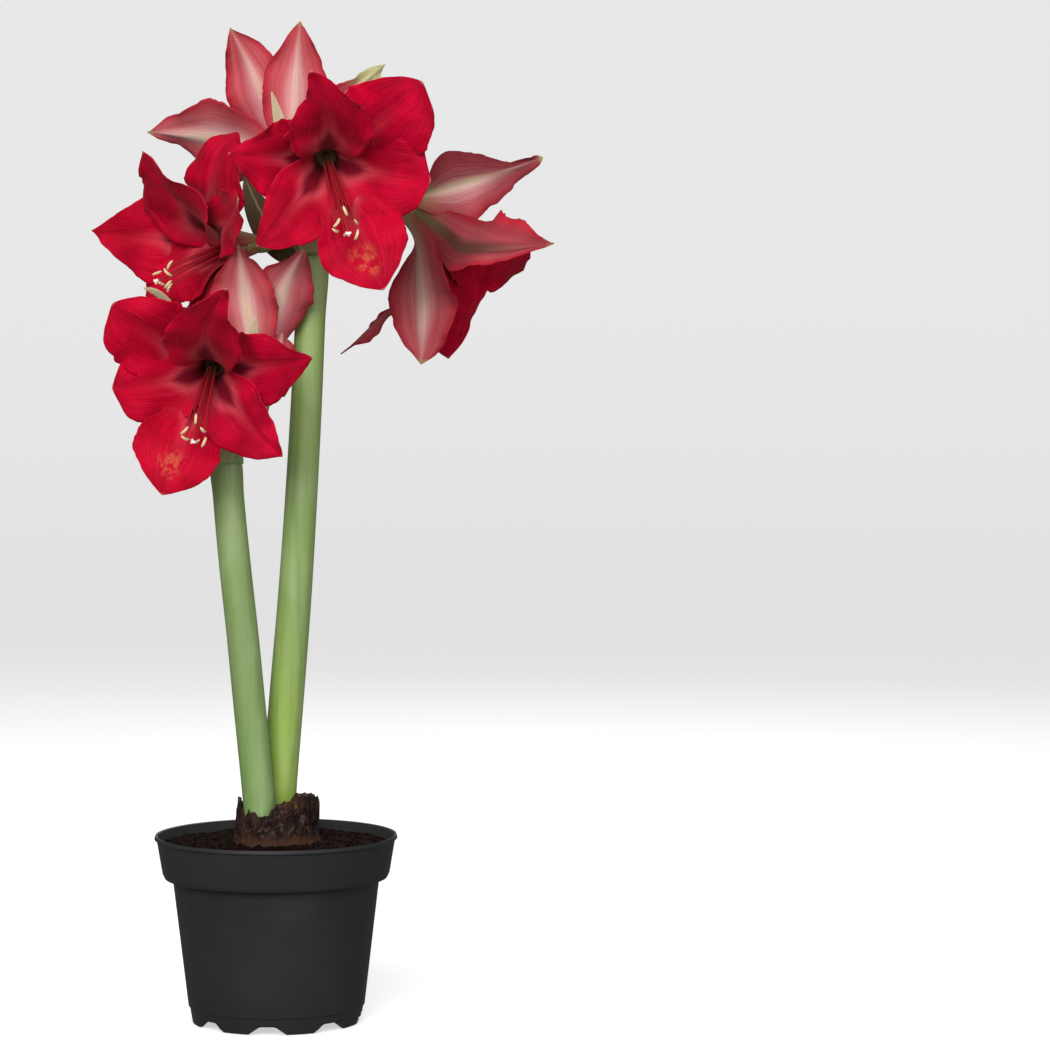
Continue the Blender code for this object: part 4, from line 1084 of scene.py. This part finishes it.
crimson = paint.coats(
    (0.3, 0.0003, 0.014),
    (cloud.step(0.35, 0.68), (0.54, 0.0008, 0.027)),
    (own * 0.4, (0.48, 0.0008, 0.014)),
    (broad.step(0.5, 0.78) * 0.35, (0.62, 0.014, 0.06)),
    (fine.step(0.3, 0.45, 0.3, 0.0) * v.step(0.25, 0.5), (0.64, 0.04, 0.075)),
    (vein * bundle.step(0.3, 0.6) * 0.42 + fine.step(0.48, 0.7) * 0.34, (0.17, 0.0003, 0.007)),
    (ray * 0.34, (0.64, 0.06, 0.09)),
    (mouth * fine.step(0.4, 0.62) * 0.4, (0.66, 0.12, 0.15)),
    # painted shade in the middle crease
    (groove * v.step(0.3, 0.5) * 0.3, (0.26, 0.001, 0.01)),
    # paler pink and painted highlight round the tongue
    (haze_and_highlight * fine.step(0.35, 0.62, 0.3, 1.0) * 0.55, (0.64, 0.11, 0.13)),
    # the tongue: darker crimson and painted shade
    (tongue_and_shade * 0.94, (0.13, 0.0003, 0.01)),
    (throat * 0.9, (0.105, 0.001, 0.009)),
    (tube_bottom * 0.9, (0.45, 0.42, 0.18)),
    (dusting * spot * 0.42 + spot * 0.12, (0.6, 0.23, 0.08)),
    (v.step(0.985, 0.998) * 0.6, (0.64, 0.26, 0.24)))
PETAL_FACE = petal_finish(paint, crimson, 0.52 + fine * 0.14, fine, vein, 0.04)
print("the face has", len(paint.tree.nodes), "nodes")

# %% [markdown]
# The back is paler: the same red only along the edges, white to cream along the middle, with pink
# veins, and green towards the stalk. Each petal brings numbers of its own: how pale it is, where
# shade is painted on it as a dusky dark red, and whether it has a dark stripe, partly painted
# shade, along its middle or a green tip.

# %% Petal back
paint = Paint("petal_back")
across, v, own, fine, bundle, broad, vein = petal_patterns(paint, (60.0, 2.6), (15.0, 1.8), (5.0, 1.2), 104.0)
aside = abs(across)
pale, dusk, stripe, green_tip = map(paint.attribute, ("pale", "dusk", "stripe", "green_tip"))
glow = (aside + (broad - 0.5) * 0.5 + v.step(0.5, 1.0) * 0.25 - pale * 0.1).fade(0.02, 0.5)
glow = glow * fine.step(0.32, 0.6, 0.35, 1.0) * (0.6 + pale * 0.32) * (1.0 - stripe * 0.75)
margin = (aside + (broad - 0.5) * 0.3).step(0.58, 1.0)
band = (1.0 - (aside + (broad - 0.5) * 0.12).step(0.02, 0.14 + pale * 0.16)) * v.fade(0.6, 0.98)
keel = aside.fade(0.01, 0.12) * v.fade(0.4, 0.85)
# the dark keel along a striped back: partly its own olive-brown, partly painted shade
brown = (aside + (fine - 0.5) * 0.1).fade(0.08, 0.34) * v.fade(0.6, 0.98)
foot = (v + aside * 0.08).fade(0.05, 0.3) * (pale * 0.4 + 0.6)
back = paint.coats(
    (0.42, 0.04, 0.055),
    (broad.step(0.35, 0.65), (0.53, 0.095, 0.108)),
    (pale * 0.35, (0.6, 0.19, 0.19)),
    (glow, (0.82, 0.5, 0.49)),
    (margin * (1.0 - pale * 0.15), (0.4, 0.01, 0.028)),
    (vein * bundle.step(0.3, 0.62) * 0.36 + fine.step(0.48, 0.7) * 0.3, (0.4, 0.035, 0.055)),
    (band * fine.step(0.3, 0.6, 1.0, 0.7) * (pale * 0.8 + 0.1), (0.8, 0.68, 0.48)),
    (keel * (pale * 0.35 + 0.1), (0.38, 0.36, 0.16)),
    # painted shade: dusky dark red where a petal's back turns away from the light
    (dusk * (0.62 + bundle * 0.5), (0.165, 0.018, 0.026)),
    (margin * stripe * 0.85, (0.44, 0.015, 0.032)),
    # olive-brown keel, darkened further by painted shade
    (brown * stripe * 0.9, (0.085, 0.034, 0.024)),
    (foot * 0.8, (0.34, 0.35, 0.12)),
    (v.step(0.955, 0.995) * (0.3 + pale * 0.5), (0.38, 0.4, 0.13)),
    (green_tip * (v + (fine - 0.5) * 0.1).step(0.7, 0.86), (0.5, 0.47, 0.24)))
PETAL_BACK = petal_finish(paint, back, 0.52 + fine * 0.12, fine, vein, 0.08)
print("the back has", len(paint.tree.nodes), "nodes")

# %% [markdown]
# ## The six blooms
# Each bloom is listed petal by petal, as a grower would describe it: where it points, how long and
# wide it is and how far it bends. The roots lie sixty degrees apart round the tube and belong to the
# inner and the outer ring in turn, so a loop works them out and turns each to its petal's side.

# %% Bloom shapes
# root of the first petal, step to the next one, whether the first is in the outer ring, petals
PETALS = {
    "tall_front": (106, -60, False, [
        petal(86, 127, 54, 40, 66, sway=14, twist=-6, point=0.4,
              left=(1.05, 1.15, 1.0, 0.6, 0.6), right=(1.0, 1.05, 1.1, 1.05, 1.0), frill=2.6),
        petal(46, 119, 62, 54, 94, widest=0.66, point=0.1, right=(1.0, 1.0, 1.1, 1.2, 1.35)),
        petal(-3, 94, 56, 50, 88, point=0.0, left=(1.0, 0.95, 1.0, 1.35, 2.0),
              right=(1.0, 1.0, 1.05, 1.2, 1.5)),
        petal(-64, 122, 66, 44, 74, point=0.2, left=(0.66, 0.74, 0.98, 1.15, 1.1),
              right=(0.6, 0.7, 0.9, 1.1, 1.1), pollen=1.0),
        petal(-134, 94, 54, 52, 88, point=0.5, left=(1.0, 1.05, 1.1, 1.1, 1.2),
              right=(1.0, 0.95, 0.8, 0.7, 0.8)),
        petal(169, 92, 56, 52, 82, point=0.7),
    ]),
    "tall_back": (-11, 60, True, [
        petal(-6, 130, 62, 60, 85, point=0.8, left=(1.1, 1.25, 1.25, 1.15, 1.0), pale=1.0),
        petal(60, 125, 52, 48, 75, point=0.6, left=(1.0, 1.0, 0.88, 0.9, 1.0), pale=0.35),
        petal(94, 122, 47, 46, 70, point=0.6, pale=0.35),
        petal(147, 119, 54, 50, 70, point=0.8, right=(1.0, 0.8, 0.6, 0.55, 0.7), pale=0.0,
              green_tip=1.0),
        petal(235, 100, 52, 50, 80),
        petal(305, 118, 52, 50, 80),
    ]),
    # the backs of this bloom's petals turn away from the light in places, and that shade is painted on them
    "tall_right": (65, 60, False, [
        petal(25, 138, 60, 8, 46, point=0.2, pale=0.3, dusk=(0.8, 0.8, 0.9, 0.9), frill=2.0),
        petal(97, 105, 62, 46, 60, flare=(0.0, 0.19), sway=15, twist=75, turn=(0.05, 0.45),
              widest=0.42, point=0.3, left=(1.0, 0.9, 0.75, 0.55, 0.7), right=(0.8, 0.72, 0.52, 0.22, 0.35),
              pale=0.9, dusk=(0.0, 1.0, 0.75, 1.0), frill=1.6),
        petal(206, 139, 62, 88, 11, flare=(0.08, 0.42), sway=-32, widest=0.5, point=0.7,
              left=(0.7, 0.48, 0.48, 0.55, 0.6), right=(1.0, 1.15, 1.15, 1.3, 1.1), pale=0.0,
              dusk=(0.85, 0.45, 0.45, 0.65), stripe=1.0, frill=2.0),
        petal(288, 120, 56, 50, 65, flare=(0.1, 0.43), sway=-6, twist=-50, turn=(0.15, 0.8),
              point=0.3, left=(0.9, 0.95, 1.0, 1.1, 1.1), right=(1.0, 1.0, 0.9, 0.9, 1.0), pale=0.6,
              dusk=(0.0, 0.4, 0.0, 0.15)),
        petal(300, 129, 66, 41, 49, twist=60, turn=(0.2, 0.8), left=(1.2, 1.35, 1.4, 1.3, 1.2),
              right=(0.8, 0.42, 0.42, 0.7, 1.0), pale=0.0),
        petal(-47, 157, 20, 85, 100, left=(0.6, 0.5, 0.6, 1.0, 1.0), right=(0.6, 0.5, 0.6, 1.0, 1.0),
              pale=0.0, dusk=(0.5, 0.5, 0.3, 0.3), stripe=0.6),
    ]),
    "tall_left": (108, -60, False, [
        petal(89, 113, 66, 39, 62, point=0.8, right=(1.1, 1.2, 1.15, 1.0, 1.0), frill=1.8),
        petal(67, 114, 64, 67, 142, point=0.3, left=(0.9, 0.75, 0.7, 0.7, 0.8),
              right=(1.0, 1.1, 1.2, 1.2, 1.1), pale=0.2),
        petal(23, 115, 42, 68, 67, point=0.2),
        petal(-102, 72, 42, 44, 88),
        petal(-147, 83, 54, 42, 88),
        petal(168, 113, 64, 42, 63, point=0.9),
    ]),
    "short_front": (74, 60, False, [
        petal(85, 136, 50, 40, 66, sway=-14, twist=6, point=0.4,
              left=(1.0, 1.1, 1.1, 1.0, 1.0), right=(1.05, 1.1, 0.95, 0.65, 0.7), frill=2.0),
        petal(135, 108, 60, 54, 94, widest=0.66, point=0.1, left=(1.0, 1.0, 1.0, 1.05, 1.25)),
        petal(183, 84, 54, 50, 88, point=0.0, left=(1.0, 1.0, 1.0, 1.15, 1.5),
              right=(1.0, 0.95, 1.0, 1.1, 1.3)),
        petal(249, 112, 63, 44, 74, point=0.2, left=(0.6, 0.7, 0.9, 1.1, 1.1),
              right=(0.66, 0.74, 1.0, 1.2, 1.15), pollen=1.0),
        petal(318, 98, 50, 52, 88, point=0.5, left=(1.0, 0.95, 0.85, 0.75, 0.8),
              right=(1.0, 1.05, 1.1, 1.1, 1.2)),
        petal(16, 110, 54, 52, 82, point=0.7),
    ]),
    "short_back": (182, -60, True, [
        petal(140, 62, 32, 20, 12, point=0.1),
        petal(111, 121, 52, 48, 75, point=0.6, pale=0.8),
        petal(79, 123, 42, 46, 70, point=0.6, right=(1.0, 1.1, 1.25, 1.25, 1.1), pale=0.7),
        petal(-12, 76, 30, 15, 22),
        petal(-80, 96, 34, 38, 70),
        petal(-94, 98, 52, 36, 55),
    ]),
}
for first, step, first_outer, leaves in PETALS.values():
    for order, leaf in enumerate(leaves):
        away = (first + order * step - leaf["angle"] + 180) % 360 - 180
        leaf.update(root=leaf["angle"] + away, outer=(order % 2 == 0) == first_outer)
print("petals listed:", sum(len(leaves) for *_, leaves in PETALS.values()))

# %% [markdown]
# At the bottom the petals grow together into a short green cup on the ovary. It is a tube whose
# line goes out along the outside and back along the inside, and it wears the paint of the petals'
# backs, with a UV map squeezed to the part near the stalk.

# %% Cups and blooms
CUP_SIDES = 36
# (distance from the ovary's end, radius) up the outside of the cup and down its inside
CUP_PROFILE = np.array([(0.3, 3.0), (0.3, 6.6), (1.0, 7.3), (4.0, 7.5), (9.0, 8.6), (13.0, 9.7), (13.3, 9.2),
                        (9.0, 7.9), (4.0, 6.6), (2.6, 5.0), (2.6, 1.0)])
CUP_MARKS = dict(pale=0.8, pollen=0.0, own=0.5, dusk=0.0, stripe=0.0, green_tip=0.0)


def tube_base(bloom):
    """The short green cup between the ovary and the petals."""
    base, axis, _, _ = bloom_frame(bloom)
    side = unit(np.cross(axis, (0.0, 1.0, 0.3)))
    over = np.cross(axis, side)
    rings = [ring(base + ahead * axis, side, over, radius, full_turn(CUP_SIDES), lobes=0.03)
             for ahead, radius in CUP_PROFILE]
    cup = wear(shaped_sheet("tube_base", rings, tube=True), PETAL_BACK)
    for corner in cup.data.uv_layers[0].data:
        corner.uv.y *= 0.1
    for name, value in CUP_MARKS.items():
        mark(cup, name, value)
    return cup


for number, (key, (*_, leaves)) in enumerate(PETALS.items()):
    bloom = FACING[key]
    parts = [petal_piece(bloom, leaf, order, 100 + 20 * number + 3 * order)
             for order, leaf in enumerate(leaves)]
    parts.append(tube_base(bloom))
    keep(joined(parts, "petals_" + key), "bloom_" + key)

# %% [markdown]
# ## Stamens and style
# Six red filaments rise from the throat, sag towards the lower side and lift their ends. Each one
# carries a swinging anther, a small curved sausage with a groove, powdered with pale yellow pollen.
# The style is longer and ends in a small white three-lobed stigma.

# %% Stamen colours
paint = Paint("filament")
v = paint.parts(paint.place("UV"))[1]
thread = paint.coats((0.3, 0.22, 0.08), (v.step(0.0, 0.3), (0.33, 0.01, 0.02)),
                     (v.step(0.55, 1.0) * 0.5, (0.48, 0.02, 0.035)))
soft = paint.noise(paint.place(), 700.0, 2.0)
FILAMENT = paint.finish(thread, 0.38 + soft * 0.15, height=soft, depth=0.0001, strength=0.3)

paint = Paint("anther")
powder = paint.noise(paint.place(), 2200.0, 3.0, 0.7)
grain = paint.mix(powder.step(0.35, 0.7), (0.56, 0.4, 0.16), (0.86, 0.76, 0.48))
ANTHER = paint.finish(grain, 0.85, height=powder, depth=0.0003, strength=0.8)

paint = Paint("stigma")
soft = paint.noise(paint.place(), 900.0, 2.0)
lobe = paint.mix(soft, (0.8, 0.64, 0.6), (0.9, 0.82, 0.8))
STIGMA = paint.finish(lobe, 0.5, height=soft, depth=0.0001, strength=0.4)
print("filament, anther and stigma painted")

# %% [markdown]
# Every filament follows the bloom's axis and its own direction, less a sag that grows with the
# distance. The anther hangs across its end by the middle, so each one gets a direction of its own,
# worked out from its number to be the same on each run.

# %% Stamen shapes
TUBE_PLUG_LENGTH = 3.0
STAMENS = 6
STAMEN_LENGTH = 88.0
STYLE_LENGTH = 97.0
STYLE_RADIUS = (0.9, 0.7)
FILAMENT_RADIUS = 0.85
ANTHER_LENGTH = 7.6
ANTHER_RADIUS = 0.95


def stamen_path(bloom, length, turn, start_radius, lean, steps=26):
    """Line of a filament: with the tube first, sagging to the lower side, its end lifted again."""
    base, axis, right, up = bloom_frame(bloom)
    start = base + (TUBE_PLUG_LENGTH + 0.3) * axis
    low = math.radians(bloom["droop"])
    sag = math.cos(low) * right + math.sin(low) * up
    own = math.cos(turn) * right + math.sin(turn) * up
    t = np.linspace(0.0, 1.0, steps)[:, None]
    sink = length * (bloom["sag"] * t ** 1.6 - 0.05 * t ** 4)
    return start + (1.5 + length * 0.96 * t) * axis + sink * sag + (start_radius + lean * t) * own


def anther_piece(middle, head, above):
    """A curved anther with a groove along its upper side."""
    t = np.linspace(-1.0, 1.0, 15)
    head = unit(head)
    arch = unit(np.cross(head, np.cross(above, head)))
    path = middle + (0.5 * ANTHER_LENGTH * t)[:, None] * head - (1.5 * t ** 2)[:, None] * arch
    radii = ANTHER_RADIUS * np.clip(1.0 - np.abs(t) ** 3.2, 0.02, 1.0) ** 0.5
    return wear(tube_piece("anther", path, radii, 14, squash=0.72, lobes=0.1), ANTHER)


def filament_piece(bloom, k):
    """One filament, and the anther across its end."""
    turn = 2.0 * math.pi * (k + 0.5) / STAMENS
    length = STAMEN_LENGTH * bloom["reach"] * (1.0 + 0.05 * math.cos(2.4 * k + 0.7))
    path = stamen_path(bloom, length, turn, 2.0, 5.5)
    radii = np.linspace(FILAMENT_RADIUS, 0.55 * FILAMENT_RADIUS, len(path))
    thread = wear(tube_piece("filament", path, radii, 10), FILAMENT)
    ahead = unit(path[-1] - path[-2])
    coarse = stamen_path(bloom, length, turn, 2.0, 5.5, 11)
    swing = unit(np.cross(coarse[-1] - coarse[-4], (math.cos(1.9 * k), math.sin(1.9 * k), 0.6)))
    return [thread, anther_piece(path[-1], unit(swing + 0.5 * ahead), ahead)]


def style_piece(bloom):
    """The style, and the three-lobed stigma on its end."""
    path = stamen_path(bloom, STYLE_LENGTH * bloom["reach"], 0.0, 0.0, 0.0, 30)
    style = wear(tube_piece("style", path, np.linspace(*STYLE_RADIUS, len(path)), 10), FILAMENT)
    ahead = unit(path[-1] - path[-2])
    t = np.linspace(-0.6, 2.0, 9)
    bulge = 0.7 + 1.0 * np.sin(np.clip((t + 0.6) / 2.6, 0.0, 1.0) * math.pi) ** 0.7
    bulge[-1] = 0.3
    return [style, wear(tube_piece("stigma", path[-1] + t[:, None] * ahead, bulge, 18, lobes=0.35), STIGMA)]


for key, bloom in FACING.items():
    parts = [part for k in range(STAMENS) for part in filament_piece(bloom, k)] + style_piece(bloom)
    keep(joined(parts, "stamens_of_" + key), "stamens_" + key)

# %% [markdown]
# ## The bracts
# The bud was wrapped in two papery bracts. Now they stand under the flowers like dry leaves: thin,
# pointed, olive to cream, with fine lengthwise lines and, on the darker ones, a pale streak. How dry
# a blade is, from 0 to 1, is written on its points and mixes the two colours.

# %% Bract colour
paint = Paint("bract")
u, v, _ = paint.parts(paint.place("UV"))
cream = paint.attribute("cream")
line = paint.noise(paint.vector(u * 46.0, v * 2.0), 1.0, 3.0, 0.6)
blot = paint.noise(paint.place(), 160.0, 3.0)
streak = 1.0 - abs(u - 0.55 + (blot - 0.5) * 0.1).step(0.02, 0.07)
olive = paint.mix(v.step(0.1, 0.8), (0.03, 0.04, 0.012), (0.07, 0.045, 0.022))
dry = paint.mix(v.step(0.3, 0.95), (0.42, 0.4, 0.18), (0.62, 0.5, 0.33))
colour = paint.coats(
    olive,
    (cream, dry),
    (line.step(0.45, 0.7) * 0.5, (0.11, 0.06, 0.03)),
    (blot.step(0.58, 0.75) * cream * 0.35, (0.48, 0.38, 0.22)),
    (streak * (1.0 - cream) * 0.75, (0.42, 0.33, 0.2)))
BRACT = paint.finish(colour, 0.6 + line * 0.2, height=line, depth=0.0004, strength=0.7,
                     Specular_IOR_Level=0.12)
print("bract painted")

# %% [markdown]
# The blades are sheets along a curved line, hollow towards their face, with a Solidify modifier. A
# thin collar, a closed profile taken once round, clasps the top of the scape and carries them.

# %% Bract shapes
BLADE_ROWS = 48
BLADE_COLUMNS = 16
BLADE_THICKNESS = 0.6
# where the collar sits, then each blade: line, width, the way its face looks, how dry it is
BRACTS = {
    "spathe_tall": (TALL_SCAPE[-3], [
        ([(18.5, 23.0, 537), (6, 29, 541), (-13, 33, 557), (-22, 29, 591)], 26.0, (0.2, -1.0, 0.0), 0.1),
        ([(24.1, 2.3, 537), (23, -3.5, 546), (10, -7, 606), (-1, -3, 648)], 17.0, (-0.2, -1.0, 0.0), 0.9),
    ]),
    "spathe_short": (SHORT_SCAPE[-3], [
        ([(-40.8, -21.1, 393), (-64, -15, 430), (-54, -36, 508), (-86, -44, 512)], 15.0,
         (-0.62, -0.78, 0.1), 0.8),
        ([(-37.3, -23.4, 393), (-36, -32, 403), (-18, -46, 440), (-9, -51, 493)], 22.0,
         (-0.2, -1.0, 0.0), 0.9),
    ]),
}


def collar(x, y, z, radius):
    """A thin band round the head of a stalk, green like it."""
    profile = [(0.5, -3.0), (1.5, -3.0), (1.3, 3.0), (0.6, 3.1), (0.5, -3.0)]
    rings = [level_ring(full_turn(48), radius + out, z + up, (x, y)) for out, up in profile]
    return wear(shaped_sheet("collar", rings, tube=True), COLLAR)


def blade(path, width, facing, number):
    """A pointed blade along a curved line, a little hollow and wavy."""
    centre_line = bezier(*path, BLADE_ROWS + 1)
    at = np.linspace(0.0, 1.0, BLADE_ROWS + 1)
    half = 0.5 * width * np.clip(np.sin(math.pi * (0.22 + 0.78 * at)), 0.01, 1.0) ** 0.7
    across = np.linspace(-1.0, 1.0, BLADE_COLUMNS + 1)
    points = []
    for t, point, forward, reach in zip(at, centre_line, np.gradient(centre_line, axis=0), half):
        forward = unit(forward)
        face = unit(np.array(facing) - forward * np.dot(facing, forward))
        hollow = 0.3 * reach * across ** 2 + 0.5 * wander(across * 3.0, t * 6.0, 60 + number) * t
        points.append(point + (reach * across)[:, None] * np.cross(forward, face) - hollow[:, None] * face)
    piece = wear(shaped_sheet("blade", points), BRACT)
    modify(piece, "SOLIDIFY", thickness=BLADE_THICKNESS * MM, offset=0.0)
    return piece


for name, (head, blades) in BRACTS.items():
    parts = [collar(*head)]
    for number, (*form, dryness) in enumerate(blades):
        parts.append(blade(*form, number))
        mark(parts[-1], "cream", dryness)
    keep(joined(parts, "bracts_of_" + name.split("_")[1]), name)
